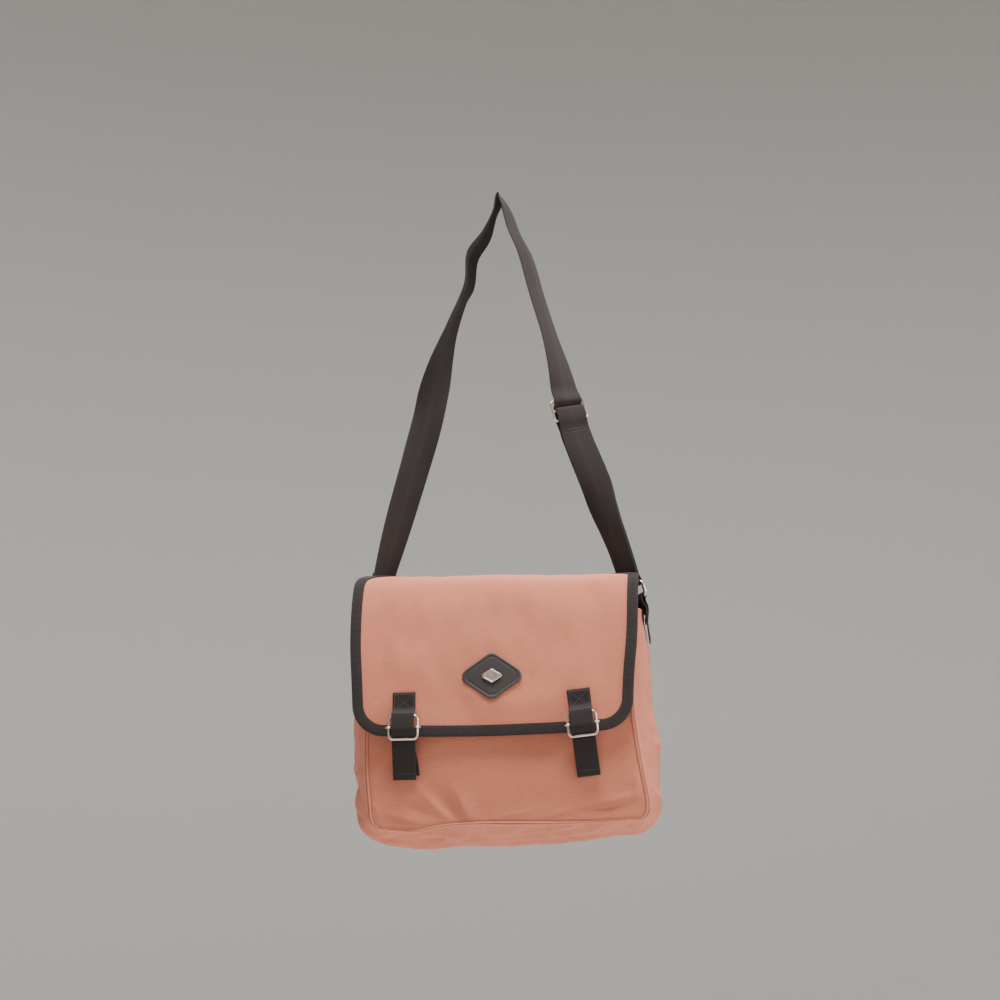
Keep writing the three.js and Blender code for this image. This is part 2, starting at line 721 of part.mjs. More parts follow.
function closure({ side, across, tilt, shift }) {
  const lean = radians(tilt);
  const downward = point(Math.sin(lean), 0, -Math.cos(lean));
  const wide = point(Math.cos(lean), 0, Math.sin(lean));
  const front = point(0, -1, 0);
  const centre = point(across, 0, -crownDrop - buckleDrop);
  const edge = flapLength - flapSkew;
  // The cloth behind a place: the flap's face, or below it the flap's edge
  const spots = (down) => [-1, -0.5, 0, 0.5, 1].map((share) => (
    moved(centre, [downward, down], [wide, share * closureWebbing / 2])
  ));
  const cloth = (down) => Math.max(...spots(down).map(({ x, z }) => {
    const along = Math.min(flapAlong(-crownDrop - z), edge);
    return canvasWall / 2 - flapPoint(x, along).y;
  }));
  const panelFace = (down) => Math.max(...spots(down).map(({ x, z }) => (
    wallOut('front', x, z) - middleY(shareDown(z)) + canvasWall / 2
  ))) + clearance;
  const level = Math.max(cloth(0), cloth(buckleHeight / 2));
  const place = (down, out) => moved(centre, [downward, down], [front, out]);
  const half = buckleHeight / 2;
  const bottomBar = half - buckleWire / 2;
  const stations = (route, slide = 0) => {
    const curve = new THREE.CatmullRomCurve3(
      route.map(([down, out]) => point(down, out, 0)), false, 'centripetal',
    );
    return route.flatMap(([, , steps = 1], i) => (
      Array.from({ length: i === route.length - 1 ? 1 : steps }, (_, k) => {
        const t = (i + k / steps) / (route.length - 1);
        const here = curve.getPoint(t);
        const run = curve.getTangent(t);
        const face = moved(front.clone().multiplyScalar(run.x), [downward, -run.y]);
        const aside = slide * THREE.MathUtils.smoothstep(here.x, bottomBar, closureTail);
        return { at: moved(place(here.x, here.y), [wide, aside]), wide, face };
      })
    ));
  };

  const sewnOut = clearance * 1.5 + webbingWall / 2;
  const tailEnd = panelFace(closureTail) + clearance * 2 + layer + webbingWall / 2;
  const round = (bar, radius, from, to, steps) => Array.from({ length: steps + 1 }, (_, i) => {
    const angle = radians(mix(from, to, i / steps));
    return [bar - radius * Math.cos(angle), level + buckleOut + radius * Math.sin(angle)];
  });
  const overWire = (buckleWire / 2 + clearance + webbingWall / 2) * wireEase;
  const closureTop = -half - closureSewn - closureLead;
  const strap = band(`closure_strap_${side}`, stations([
    [closureTop, cloth(closureTop) + sewnOut],
    [-half - closureFoot, cloth(-half - closureFoot) + sewnOut],
    [-half - closureRise, level + mix(sewnOut, wireOver, 0.25)],
    ...round(-bottomBar, overWire, 20, 80, 2),
    [-barLoop, level + strapOver],
    [barLoop, level + strapOver],
    [mix(barLoop, bottomBar, 0.5), level + mix(buckleOut, strapOver, 0.4)],
    ...round(bottomBar, overWire, -10, -90, 3),
    [bottomBar + tailBend, level + tailOut],
    [mix(bottomBar, closureTail, 0.5), mix(level + tailOut, tailEnd, 0.45)],
    [closureTail, tailEnd],
  ]), closureWebbing, webbing);

  const tabEnd = closureTail - tabShort;
  const tabFoot = (down) => panelFace(down) + clearance + webbingWall / 2;
  const tab = band(`buckle_tab_${side}`, stations([
    [tabEnd, tabFoot(tabEnd)],
    [tabEnd - tabSewn, tabFoot(tabEnd - tabSewn)],
    [half + tailBend, level + tabOut - clearance],
    [bottomBar - tabLean, level + tabOut],
    [barLoop + tabBend, level + mix(tabOut, tailOut, 0.4)],
    ...round(0, barLoop * tabEase, -100, 130, loopSteps),
  ], shift), closureWebbing - 2 * tabPlay, webbing);

  const middle = place(0, level + buckleOut);
  const upward = downward.clone().negate();
  const frame = wire(`buckle_frame_${side}`, ringPath(
    middle, wide, upward, buckleWidth - buckleWire, buckleHeight - buckleWire, buckleCorner,
  ), front, buckleWire, true, metal);

  // The bar's ends curl round the frame's sides
  const reach = (buckleWidth - buckleWire) / 2;
  const curl = buckleWire / 2 + clearance + barWire / 2;
  const end = [0, 45, 90, 135, 180, 225].map((degrees) => {
    const angle = radians(degrees);
    return [reach - curl * Math.cos(angle), curl * Math.sin(angle)];
  });
  const barPath = [
    ...[...end].reverse().map(([x, out]) => moved(middle, [wide, -x], [front, out])),
    ...end.map(([x, out]) => moved(middle, [wide, x], [front, out])),
  ];
  const bar = wire(`buckle_bar_${side}`, barPath, downward, barWire, false, metal);
  return [strap, tab, frame, bar];
}

// Shoulder strap: its centre line, with its width and face at any place on it
const strapCurve = new THREE.CatmullRomCurve3(strapStations.map(({ out, drop }) => (
  point(out * strapSpread, drop * strapBack, webbingWall / 2 - drop * (strapDrop + webbingWall / 2))
)), false, 'centripetal');
const stationRows = strapStations.map((row, i) => ({ ...row, order: i / (strapStations.length - 1) }));

function strapFrame(order) {
  const run = strapCurve.getTangent(order);
  const turn = radians(read(stationRows, 'order', order, 'turn'));
  const wide = point(Math.sin(turn), -Math.cos(turn), 0);
  wide.addScaledVector(run, -wide.dot(run)).normalize();
  const face = run.clone().cross(wide).normalize();
  const fold = radians(Math.max(read(stationRows, 'order', order, 'fold'), 0));
  return { at: strapCurve.getPoint(order), run, wide, face, fold };
}

// Order of the place on the right leg at a drop below the hang point
function rightOrder(drop) {
  let [low, high] = [0.5, 1];
  for (let step = 0; step < 40; step += 1) {
    const middle = (low + high) / 2;
    if (strapCurve.getPoint(middle).z > -drop) low = middle;
    else high = middle;
  }
  return (low + high) / 2;
}

const beside = (frame, offset, slide = 0) => ({
  ...frame,
  at: moved(frame.at, [frame.face, offset], [frame.run, slide]),
});

// Turns the band round a bar: angles from its face side, round the free side
function wrap(frame, radius, from, to, steps) {
  return Array.from({ length: steps + 1 }, (_, i) => {
    const angle = radians(mix(from, to, i / steps));
    const out = moved(
      frame.face.clone().multiplyScalar(Math.cos(angle)), [frame.run, Math.sin(angle)],
    );
    return { at: moved(frame.at, [out, radius]), wide: frame.wide, face: out, fold: 0 };
  });
}

function strapRoute() {
  const single = layer / 2;
  const ringLoop = (ringWire / 2 + clearance + webbingWall / 2) * ringEase;
  const barTurn = (sliderWire / 2 + clearance + webbingWall / 2) * sliderEase;
  const spacing = (sliderHeight - sliderWire) / 2;
  const rear = barTurn + layer;
  const turned = (frame) => ({ ...frame, face: frame.face.clone().negate() });

  // Left end: the tail behind the leg, round the ring's bar and up the front
  const leftRing = strapFrame(0);
  const leftOrder = (length) => length / strapCurve.getLength();
  const left = [
    beside(strapFrame(leftOrder(strapTail)), -layer),
    beside(strapFrame(leftOrder(strapTail * 0.6)), -layer),
    beside(strapFrame(leftOrder(strapTail * 0.25)), -ringLoop),
    ...wrap(leftRing, ringLoop, 180, 360, loopSteps),
    beside(strapFrame(leftOrder(strapTail * 0.25)), ringLoop),
    beside(strapFrame(leftOrder(strapTail * 0.6)), 0),
  ];

  // Both legs, down to the slider
  const first = leftOrder(strapTail * 1.1);
  const lastOrder = rightOrder(sliderDrop - spacing * 2);
  const legs = Array.from({ length: strapSteps }, (_, i) => (
    strapFrame(mix(first, lastOrder, i / (strapSteps - 1)))
  ));

  // Places below the slider's centre bar, beside the leg's centre line
  const below = (distance, offset) => (
    beside(turned(strapFrame(rightOrder(sliderDrop + distance))), offset)
  );
  const dive = [
    below(-spacing, barTurn),
    below(-spacing * 0.72, barTurn * 0.75),
    below(-spacing * 0.42, -barTurn * 0.45),
    below(-spacing * 0.12, -rear),
    below(spacing, -rear),
    below(spacing * 1.8, -single * 3),
    below(sliderTail, -single * 3),
    below(sliderTail * 1.5, -single),
  ];
  const ringFrame = turned(strapFrame(1));
  const lower = [0.75, 0.8, 0.85, 0.9, 0.94, 0.97, 0.985].map((share) => (
    strapDrop * share - sliderDrop
  )).filter((distance) => distance > sliderTail * 1.6);
  const rearLayer = lower.map((distance) => below(distance, -single));
  const frontLayer = [...lower].reverse().map((distance) => below(distance, single));
  const turn = wrap(ringFrame, ringLoop, 180, 0, loopSteps);
  const home = [
    below(sliderTail * 1.5, single),
    below(sliderTail, single),
    below(spacing * 1.8, single),
    below(spacing, barTurn),
  ];
  const barFrame = turned(strapFrame(rightOrder(sliderDrop)));
  const over = wrap(barFrame, barTurn, 0, -180, loopSteps);
  const tail = [
    below(spacing, -barTurn),
    below(spacing * 1.8, -single),
    below(sliderTail, -single),
  ];
  const down = [...dive, ...rearLayer];
  return { left, legs, down, turn, up: [...frontLayer, ...home], over, tail };
}

function shoulderStrap() {
  const { left, legs, down, turn, up, over, tail } = strapRoute();
  const stations = [...left, ...legs, ...down, ...turn, ...up, ...over, ...tail];
  return band('shoulder_strap', keepFace(stations), strapWidth, webbing);
}

// Points every face along the band's own turn: run across width
function keepFace(stations) {
  return stations.map((station, i) => {
    const before = stations[Math.max(i - 1, 0)].at;
    const after = stations[Math.min(i + 1, stations.length - 1)].at;
    const run = after.clone().sub(before).normalize();
    const face = run.cross(station.wide).normalize();
    return { ...station, face };
  });
}

// Slider and rings, each square to the strap where it sits
function loopOfWire(name, frame, height, gauge) {
  const width = strapWidth + 2 * ringPlay + gauge;
  const upward = frame.run.clone().negate();
  const path = ringPath(frame.at, frame.wide, upward, width, height - gauge, gauge * 1.2);
  return wire(name, path, frame.face, gauge, true, metal);
}

const sliderPlace = strapFrame(rightOrder(sliderDrop));
const sliderFrame = loopOfWire('slider_frame', sliderPlace, sliderHeight, sliderWire);
const sliderReach = strapWidth / 2 + ringPlay - clearance;
const sliderBar = wire('slider_bar', [
  moved(sliderPlace.at, [sliderPlace.wide, -sliderReach]),
  moved(sliderPlace.at, [sliderPlace.wide, sliderReach]),
], sliderPlace.face, sliderWire, false, metal);

function ringAndTab(side) {
  const sign = side === 'left' ? -1 : 1;
  const end = strapFrame(side === 'left' ? 0 : 1);
  const downward = side === 'left' ? end.run.clone().negate() : end.run.clone();
  const inside = (ringHeight - ringWire) / 2;
  const centre = { ...end, at: moved(end.at, [downward, inside]), run: downward };
  const ring = loopOfWire(`ring_${side}`, centre, ringHeight, ringWire);

  // The tab lies doubled on the gusset, rises free of its edge and holds the bar
  const bar = moved(end.at, [downward, inside * 2]);
  const mouth = zAtShare(lapTop);
  const gussetFace = (z) => Math.abs(edgeX(side, shareDown(z))) + swell(side, shareDown(z));
  const lift = clearance * 4 + layer;
  const sewnTop = mouth - ringTabFree;
  const sewnEnd = sewnTop - ringTabSewn;
  const straight = point(0, sign, 0);
  const rows = [
    { at: point(sign * (gussetFace(sewnEnd) + lift), strapBack, sewnEnd), wide: straight },
    { at: point(sign * (gussetFace(sewnTop) + lift), strapBack, sewnTop), wide: straight },
    {
      at: point(sign * (gussetFace(mouth) + lift + ringTabRise), strapBack, mouth),
      wide: straight.clone().lerp(end.wide, 0.08).normalize(),
    },
    {
      at: moved(bar, [downward, ringWire * 1.4]),
      wide: straight.clone().lerp(end.wide, 0.8).normalize(),
    },
  ];
  const radius = ringWire / 2 + clearance + webbingWall / 2;
  const frames = rows.map((row, i) => {
    const next = i < rows.length - 1 ? rows[i + 1].at : bar;
    const run = next.clone().sub(i > 0 ? rows[i - 1].at : row.at).normalize();
    const out = row.wide.clone().cross(run).normalize();
    const spread = i === rows.length - 1 ? radius * 0.75 : layer / 2;
    return { ...row, out, spread };
  });
  const outer = frames.map(({ at, wide, out, spread }) => ({ at: moved(at, [out, spread]), wide }));
  const inner = frames.slice(1).map(({ at, wide, out, spread }) => (
    { at: moved(at, [out, -spread]), wide }
  )).reverse();
  const outward = end.face.clone().multiplyScalar(sign);
  const loop = Array.from({ length: loopSteps + 1 }, (_, i) => {
    const angle = i / loopSteps * Math.PI;
    const at = moved(bar, [outward, radius * Math.cos(angle)], [downward, -radius * Math.sin(angle)]);
    return { at, wide: end.wide };
  });
  const stations = keepFace([...outer, ...loop, ...inner]);
  return [ring, band(`ring_tab_${side}`, stations, strapWidth - 1, webbing)];
}

const bag = new THREE.Group();
bag.name = 'canvas_bag';
bag.add(frontPanel, backPanel, gusset, flap, flapBinding, diamondPatch, diamondPlate);
closures.forEach((row) => bag.add(...closure(row)));
bag.add(shoulderStrap(), sliderFrame, sliderBar);
['left', 'right'].forEach((side) => bag.add(...ringAndTab(side)));

export default bag;
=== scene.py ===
"""Canvas messenger bag: its cloth, webbing, leather and metal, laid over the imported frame.

Lengths are metres, +Z is up, the front faces -Y, and the origin is where the shoulder strap hangs.
"""
import logging
import math
from dataclasses import dataclass
from enum import Enum
from functools import cache
from typing import NamedTuple

import bmesh
import bpy
import numpy as np
from mathutils import Matrix, Vector


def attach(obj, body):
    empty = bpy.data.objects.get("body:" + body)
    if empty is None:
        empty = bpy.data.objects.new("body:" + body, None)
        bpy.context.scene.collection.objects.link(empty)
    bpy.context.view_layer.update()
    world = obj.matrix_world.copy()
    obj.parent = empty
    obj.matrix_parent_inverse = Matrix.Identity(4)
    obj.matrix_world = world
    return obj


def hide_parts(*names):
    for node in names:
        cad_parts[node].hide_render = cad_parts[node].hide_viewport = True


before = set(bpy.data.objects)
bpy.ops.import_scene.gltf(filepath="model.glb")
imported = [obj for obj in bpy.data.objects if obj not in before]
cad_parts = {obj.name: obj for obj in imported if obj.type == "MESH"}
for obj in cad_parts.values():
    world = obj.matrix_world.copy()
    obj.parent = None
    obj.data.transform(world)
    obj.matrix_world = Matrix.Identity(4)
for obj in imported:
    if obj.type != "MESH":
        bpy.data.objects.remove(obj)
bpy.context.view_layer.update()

Array = np.ndarray
Values = Array | float
Color = tuple[float, float, float]
Piece = bpy.types.Object
Socket = bpy.types.NodeSocket
log = logging.getLogger("bag")

BODY = "root"
# Half the width of the paler stripe along the strap, worn and with painted sheen, and how deep stitches sit in the
# cloth
STRIPE_HALF = 0.0060
SUNK = 0.0001


class Side(Enum):
    """Left or right, seen from the front."""

    LEFT = "left"
    RIGHT = "right"

    @property
    def sign(self) -> int:
        """-1 on the left, +1 on the right."""
        return -1 if self is Side.LEFT else 1


class Wall(Enum):
    """The front or the back wall of the body."""

    FRONT = "front"
    BACK = "back"

    @property
    def sign(self) -> int:
        """-1 for the front, which faces -Y, +1 for the back."""
        return -1 if self is Wall.FRONT else 1


@dataclass(frozen=True)
class Gauge:
    """Thicknesses, and the gap between pieces that touch."""

    canvas: float = 0.0016
    webbing: float = 0.0018
    tape: float = 0.0010
    leather: float = 0.0020
    gap: float = 0.00035


GAUGE = Gauge()


class Section(NamedTuple):
    """Body at one height: shares of the height, half width, base depth and side bulge."""

    down: float
    left: float
    right: float
    spread: float
    left_swell: float
    right_swell: float


class Hem(NamedTuple):
    """How far the bottom seams hang below the body, as shares of the base's tilt."""

    across: float
    front: float
    back: float


class Fold(NamedTuple):
    """A fold or crease: place, reach along and beside itself, angle and height."""

    across: float
    down: float
    length: float
    width: float
    angle: float
    depth: float


class Bend(NamedTuple):
    """A place on the flap's section: shares of half the base depth and of the body height."""

    out: float
    down: float


class Edge(NamedTuple):
    """The flap's side edges at a share of its length, as shares of half the width."""

    along: float
    left: float
    right: float


class Twist(NamedTuple):
    """A place on the shoulder strap: shares of its spread and drop, turn and fold in degrees."""

    out: float
    drop: float
    turn: float
    fold: float


BODY_SECTIONS = (
    Section(0.00, 0.965, 0.925, 0.00, 0.20, 0.50),
    Section(0.15, 0.968, 0.925, 0.00, 0.25, 0.66),
    Section(0.26, 0.976, 0.928, 0.42, 0.75, 0.80),
    Section(0.42, 0.976, 0.928, 0.76, 0.95, 1.02),
    Section(0.58, 0.976, 0.934, 0.93, 0.95, 1.04),
    Section(0.70, 0.976, 0.958, 0.98, 0.94, 1.12),
    Section(0.80, 0.970, 0.985, 1.00, 0.91, 0.95),
    Section(0.92, 0.951, 1.022, 1.00, 0.90, 0.58),
    Section(1.00, 0.934, 1.024, 1.00, 0.75, 0.30),
)
BOTTOM_EDGE = (
    Hem(0.00, 0.20, 0.95),
    Hem(0.12, 0.42, 1.05),
    Hem(0.24, 0.10, 1.04),
    Hem(0.36, 0.00, 1.02),
    Hem(0.55, 0.06, 1.00),
    Hem(0.80, 0.03, 0.70),
    Hem(0.96, -0.10, 0.30),
    Hem(1.00, -0.10, 0.20),
)
FRONT_FOLDS = (
    Fold(0.13, 0.95, 0.13, 0.028, -12, 0.60),
    Fold(0.28, 0.93, 0.13, 0.030, -48, -0.65),
    Fold(0.35, 0.93, 0.09, 0.025, -60, 0.50),
    Fold(0.88, 0.94, 0.11, 0.028, 10, -0.70),
    Fold(0.55, 0.84, 0.20, 0.050, 20, 0.35),
)
BACK_FOLDS = (
    Fold(0.30, 0.70, 0.25, 0.060, 25, 0.60),
    Fold(0.72, 0.82, 0.20, 0.050, -35, -0.60),
)
GUSSET_FOLDS = (
    Fold(0.35, 0.36, 0.30, 0.020, 70, 0.80),
    Fold(0.55, 0.43, 0.35, 0.022, -60, -0.85),
    Fold(0.45, 0.58, 0.30, 0.020, 62, 0.75),
    Fold(0.40, 0.66, 0.28, 0.018, -65, -0.70),
    Fold(0.50, 0.24, 0.35, 0.022, 80, -0.60),
    Fold(0.50, 0.80, 0.35, 0.022, -80, 0.50),
)
FLAP_FOLDS = (
    Fold(0.20, 0.82, 0.16, 0.060, 62, 0.40),
    Fold(0.36, 0.86, 0.16, 0.055, -55, -0.35),
    Fold(0.72, 0.84, 0.15, 0.060, 52, 0.40),
    Fold(0.56, 0.90, 0.18, 0.050, 8, 0.35),
    Fold(0.88, 0.70, 0.20, 0.060, -74, -0.30),
)
FLAP_SECTION = (
    Bend(0.62, 0.066),
    Bend(0.40, 0.016),
    Bend(0.04, 0.000),
    Bend(-0.33, 0.008),
    Bend(-0.65, 0.043),
    Bend(-0.87, 0.121),
    Bend(-1.04, 0.269),
    Bend(-1.155, 0.449),
    Bend(-1.236, 0.658),
)
FLAP_SIDES = (
    Edge(0.00, 0.760, 0.760),
    Edge(0.24, 0.760, 0.760),
    Edge(0.28, 0.795, 0.790),
    Edge(0.315, 0.915, 0.900),
    Edge(0.35, 1.008, 0.975),
    Edge(0.39, 1.060, 0.986),
    Edge(0.44, 1.078, 0.984),
    Edge(0.65, 1.083, 0.969),
    Edge(0.80, 1.066, 0.940),
    Edge(1.00, 1.042, 0.916),
)
STRAP_PLACES = (
    Twist(-1.000, 1.000, -24, 0),
    Twist(-0.969, 0.960, -32, 0),
    Twist(-0.849, 0.827, -53, 0),
    Twist(-0.716, 0.688, -65, 0),
    Twist(-0.614, 0.575, -84, 0),
    Twist(-0.571, 0.514, -75, 0),
    Twist(-0.513, 0.443, -46, 0),
    Twist(-0.457, 0.371, -21, 4),
    Twist(-0.425, 0.334, -13, 6),
    Twist(-0.336, 0.262, -4, 6),
    Twist(-0.292, 0.225, -12, 8),
    Twist(-0.262, 0.151, -16, 8),
    Twist(-0.146, 0.097, -9, 8),
    Twist(-0.072, 0.044, 2, 6),
    Twist(-0.041, 0.019, -3, 4),
    Twist(-0.018, 0.004, -8, 4),
    Twist(0.000, 0.000, -10, 4),
    Twist(0.020, 0.005, -12, 4),
    Twist(0.047, 0.017, -16, 4),
    Twist(0.080, 0.036, -19, 6),
    Twist(0.138, 0.088, -24, 8),
    Twist(0.223, 0.148, -28, 8),
    Twist(0.314, 0.262, -29, 6),
    Twist(0.413, 0.376, -31, 4),
    Twist(0.468, 0.459, -45, 0),
    Twist(0.519, 0.537, -63, 0),
    Twist(0.609, 0.640, -73, 0),
    Twist(0.739, 0.747, -98, 0),
    Twist(0.804, 0.816, -122, 0),
    Twist(0.883, 0.882, -136, 0),
    Twist(0.968, 0.966, -141, 0),
    Twist(1.000, 1.000, -144, 0),
)
# Creases of the front wall: u from its middle, v down from the crown
FRONT_CREASES = (
    Fold(-0.118, 0.297, 0.022, 0.0030, -16, 0.0012),
    Fold(-0.100, 0.289, 0.020, 0.0030, -24, -0.0010),
    Fold(-0.079, 0.284, 0.026, 0.0035, -44, 0.0014),
    Fold(-0.060, 0.290, 0.016, 0.0025, -58, -0.0010),
    Fold(-0.046, 0.286, 0.018, 0.0028, -66, 0.0011),
    Fold(0.012, 0.296, 0.020, 0.0030, 12, 0.0007),
    Fold(0.070, 0.293, 0.022, 0.0032, 18, 0.0008),
    Fold(0.128, 0.281, 0.028, 0.0034, 12, 0.0016),
    Fold(0.118, 0.290, 0.024, 0.0030, 6, -0.0012),
    Fold(0.158, 0.262, 0.016, 0.0030, 84, 0.0011),
    Fold(-0.150, 0.252, 0.020, 0.0032, 78, 0.0009),
    Fold(-0.152, 0.285, 0.014, 0.0028, -60, 0.0010),
)
# Creases of the gusset: u along its front seam from the left mouth, v from front to back
GUSSET_CREASES = (
    Fold(0.196, 0.030, 0.022, 0.0026, 70, 0.0016),
    Fold(0.214, 0.040, 0.026, 0.0030, 62, -0.0016),
    Fold(0.236, 0.028, 0.024, 0.0028, 55, 0.0018),
    Fold(0.262, 0.022, 0.026, 0.0030, 38, 0.0022),
    Fold(0.284, 0.030, 0.026, 0.0028, 22, -0.0018),
    Fold(0.300, 0.016, 0.024, 0.0026, 14, 0.0018),
    Fold(0.334, 0.034, 0.030, 0.0030, -24, -0.0018),
    Fold(0.352, 0.020, 0.032, 0.0030, -28, 0.0022),
    Fold(0.386, 0.040, 0.030, 0.0034, -16, 0.0016),
    Fold(0.418, 0.018, 0.024, 0.0026, 24, 0.0014),
    Fold(0.446, 0.030, 0.030, 0.0030, 18, -0.0016),
    Fold(0.470, 0.014, 0.030, 0.0028, 16, 0.0019),
    Fold(0.498, 0.026, 0.026, 0.0030, 34, 0.0016),
    Fold(0.522, 0.018, 0.022, 0.0026, 40, 0.0016),
    Fold(0.556, 0.030, 0.028, 0.0030, 52, -0.0014),
    Fold(0.600, 0.050, 0.034, 0.0034, 64, 0.0014),
    Fold(0.668, 0.060, 0.030, 0.0036, 80, 0.0010),
    Fold(0.120, 0.060, 0.030, 0.0036, -78, 0.0011),
)
# Soft undulations of the flap: u from the middle, v along the cloth from the lap's end
FLAP_CREASES = (
    Fold(-0.090, 0.262, 0.040, 0.009, -52, 0.0007),
    Fold(-0.052, 0.292, 0.034, 0.008, 40, 0.0006),
    Fold(0.044, 0.288, 0.036, 0.008, -44, 0.0006),
    Fold(0.120, 0.250, 0.040, 0.009, 58, 0.0006),
    Fold(0.128, 0.150, 0.030, 0.007, -24, 0.0007),
    Fold(-0.140, 0.170, 0.034, 0.008, 24, 0.0006),
)


def unit(vectors: Array) -> Array:
    """Vectors scaled to length one."""
    return vectors / np.maximum(np.linalg.norm(vectors, axis=-1, keepdims=True), 1e-12)


def mix(a: Values, b: Values, t: Values) -> Values:
    """A straight mix: a at t 0, b at t 1."""
    return a + (b - a) * t


def smoothstep(x: Values, low: float, high: float) -> Values:
    """0 below low, 1 above high, and the cubic 3t^2 - 2t^3 between them."""
    t = np.clip((x - low) / (high - low), 0.0, 1.0)
    return t * t * (3 - 2 * t)


def hill(x: Array, centre: float, width: float) -> Array:
    """A bell of height one round a centre: exp(-((x - centre) / width)^2)."""
    return np.exp(-(((x - centre) / width) ** 2))


def laid(*parts: Values) -> Array:
    """Arrays of one shape, or spread to one shape, as the columns of a last axis."""
    return np.stack(np.broadcast_arrays(*parts), axis=-1)


def column(rows: tuple, name: str) -> Array:
    """One named column of a table."""
    return np.array([getattr(row, name) for row in rows], dtype=float)


def read(rows: tuple, key: str, place: Values, name: str) -> Array:
    """Reads a table's column at places, smoothly between its rows.

    Between two rows it is the cubic Hermite curve whose slopes at the rows are the slopes
    between their neighbours.

    Args:
        rows: the table, sorted by its key column.
        key: name of the key column.
        place: where to read, in the key's units.
        name: name of the column to read.

    Returns:
        The values at the places.
    """
    keys, values = column(rows, key), column(rows, name)
    last = len(keys) - 1
    place = np.clip(np.asarray(place, dtype=float), keys[0], keys[-1])
    row = np.clip(np.searchsorted(keys, place, side="left") - 1, 0, last - 1)
    before, after = np.maximum(row - 1, 0), np.minimum(row + 2, last)
    span = keys[row + 1] - keys[row]
    t = (place - keys[row]) / span
    leave = (values[row + 1] - values[before]) / (keys[row + 1] - keys[before]) * span
    arrive = (values[after] - values[row]) / (keys[after] - keys[row]) * span
    start = (1 + 2 * t) * (1 - t) ** 2 * values[row] + t * (1 - t) ** 2 * leave
    return start + t * t * (3 - 2 * t) * values[row + 1] + t * t * (t - 1) * arrive


def folds(rows: tuple, across: Array, down: Array, aspect: float = 1.0, crisp: bool = False) -> Array:
    """Height of a table of folds, each a ridge that fades along and beside itself.

    A fold is depth * exp(-(along / length)^2) * exp(-(beside / width)^2), turned by its
    angle, where a negative angle runs down to the right. A crisp one ends in
    1 / cosh(beside / width) instead.

    Args:
        rows: the folds.
        across: place across the piece, in the table's unit.
        down: place down the piece.
        aspect: what a step down is worth in steps across.
        crisp: whether the folds are sharp creases.

    Returns:
        The summed heights.
    """
    total = np.zeros(np.broadcast(across, down).shape)
    for row in rows:
        angle = math.radians(row.angle)
        x, y = across - row.across, (down - row.down) * aspect
        along = (x * math.cos(angle) - y * math.sin(angle)) / row.length
        beside = (x * math.sin(angle) + y * math.cos(angle)) / row.width
        flank = 1 / np.cosh(np.clip(beside, -30, 30)) if crisp else np.exp(-beside**2)
        total = total + row.depth * np.exp(-along**2) * flank
    return total


def ripple(u: Array, v: Array, height: float, length: float, seed: int) -> Array:
    """Soft uneven waves of cloth: a sum of plane sine waves in seeded directions.

    Args:
        u: place across the cloth, in metres.
        v: place along the cloth, in metres.
        height: the waves' usual height.
        length: the longest wavelength.
        seed: picks directions and phases.

    Returns:
        The heights.
    """
    rng = np.random.default_rng(seed)
    total = np.zeros(np.broadcast(u, v).shape)
    waves = 9
    for k in range(waves):
        turn, phase = rng.uniform(0, math.pi), rng.uniform(0, 2 * math.pi)
        wavelength = length / (1 + 0.45 * k)
        way = (u * math.cos(turn) + v * math.sin(turn)) / wavelength
        total = total + np.sin(2 * math.pi * way + phase) / (1 + 0.6 * k)
    return total * height / 2


class Curve:
    """A centripetal Catmull-Rom curve through points, open at its ends."""

    def __init__(self, points: Array, divisions: int = 400) -> None:
        """Keeps the points and measures the curve.

        Args:
            points: what the curve passes through.
            divisions: steps of the length table.
        """
        self.points = np.asarray(points, dtype=float)
        self.orders = np.linspace(0, 1, divisions + 1)
        steps = np.linalg.norm(np.diff(self.point(self.orders), axis=0), axis=1)
        self.lengths = np.concatenate([[0.0], np.cumsum(steps)])

    @property
    def length(self) -> float:
        """The curve's length."""
        return float(self.lengths[-1])

    def point(self, order: Values) -> Array:
        """Points at orders from 0 to 1, each span between two points the same share.

        A span is the cubic whose end slopes come from its neighbours, weighted by the
        square roots of the spans' lengths.
        """
        given = self.points
        place = np.clip(np.asarray(order, dtype=float), 0, 1) * (len(given) - 1)
        row = np.minimum(place.astype(int), len(given) - 2)
        w = (place - row)[..., None]
        wide = np.vstack([2 * given[0] - given[1], given, 2 * given[-1] - given[-2]])
        a, b, c, d = (wide[row + k] for k in range(4))
        first, middle, last = (
            np.maximum(np.sum((q - p) ** 2, axis=-1, keepdims=True) ** 0.25, 1e-6)
            for p, q in ((a, b), (b, c), (c, d))
        )
        leave = ((b - a) / first - (c - a) / (first + middle) + (c - b) / middle) * middle
        arrive = ((c - b) / middle - (d - b) / (middle + last) + (d - c) / last) * middle
        square = -3 * b + 3 * c - 2 * leave - arrive
        cube = 2 * b - 2 * c + leave + arrive
        return b + w * leave + w**2 * square + w**3 * cube

    def tangent(self, order: Values) -> Array:
        """Directions at orders, from points close before and after."""
        step = 1e-4
        order = np.asarray(order, dtype=float)
        return unit(self.point(order + step) - self.point(order - step))

    def order_at(self, share: Values) -> Array:
        """Orders of the places at shares of the length."""
        return np.interp(np.asarray(share) * self.length, self.lengths, self.orders)


def grid_normals(points: Array) -> Array:
    """Normals of a grid of points: the run down the rows across the run along them."""
    return unit(np.cross(np.gradient(points, axis=0), np.gradient(points, axis=1)))


def path_lengths(points: Array) -> Array:
    """Length along a path up to each of its points."""
    steps = np.linalg.norm(np.diff(points, axis=0), axis=1)
    return np.concatenate([[0.0], np.cumsum(steps)])


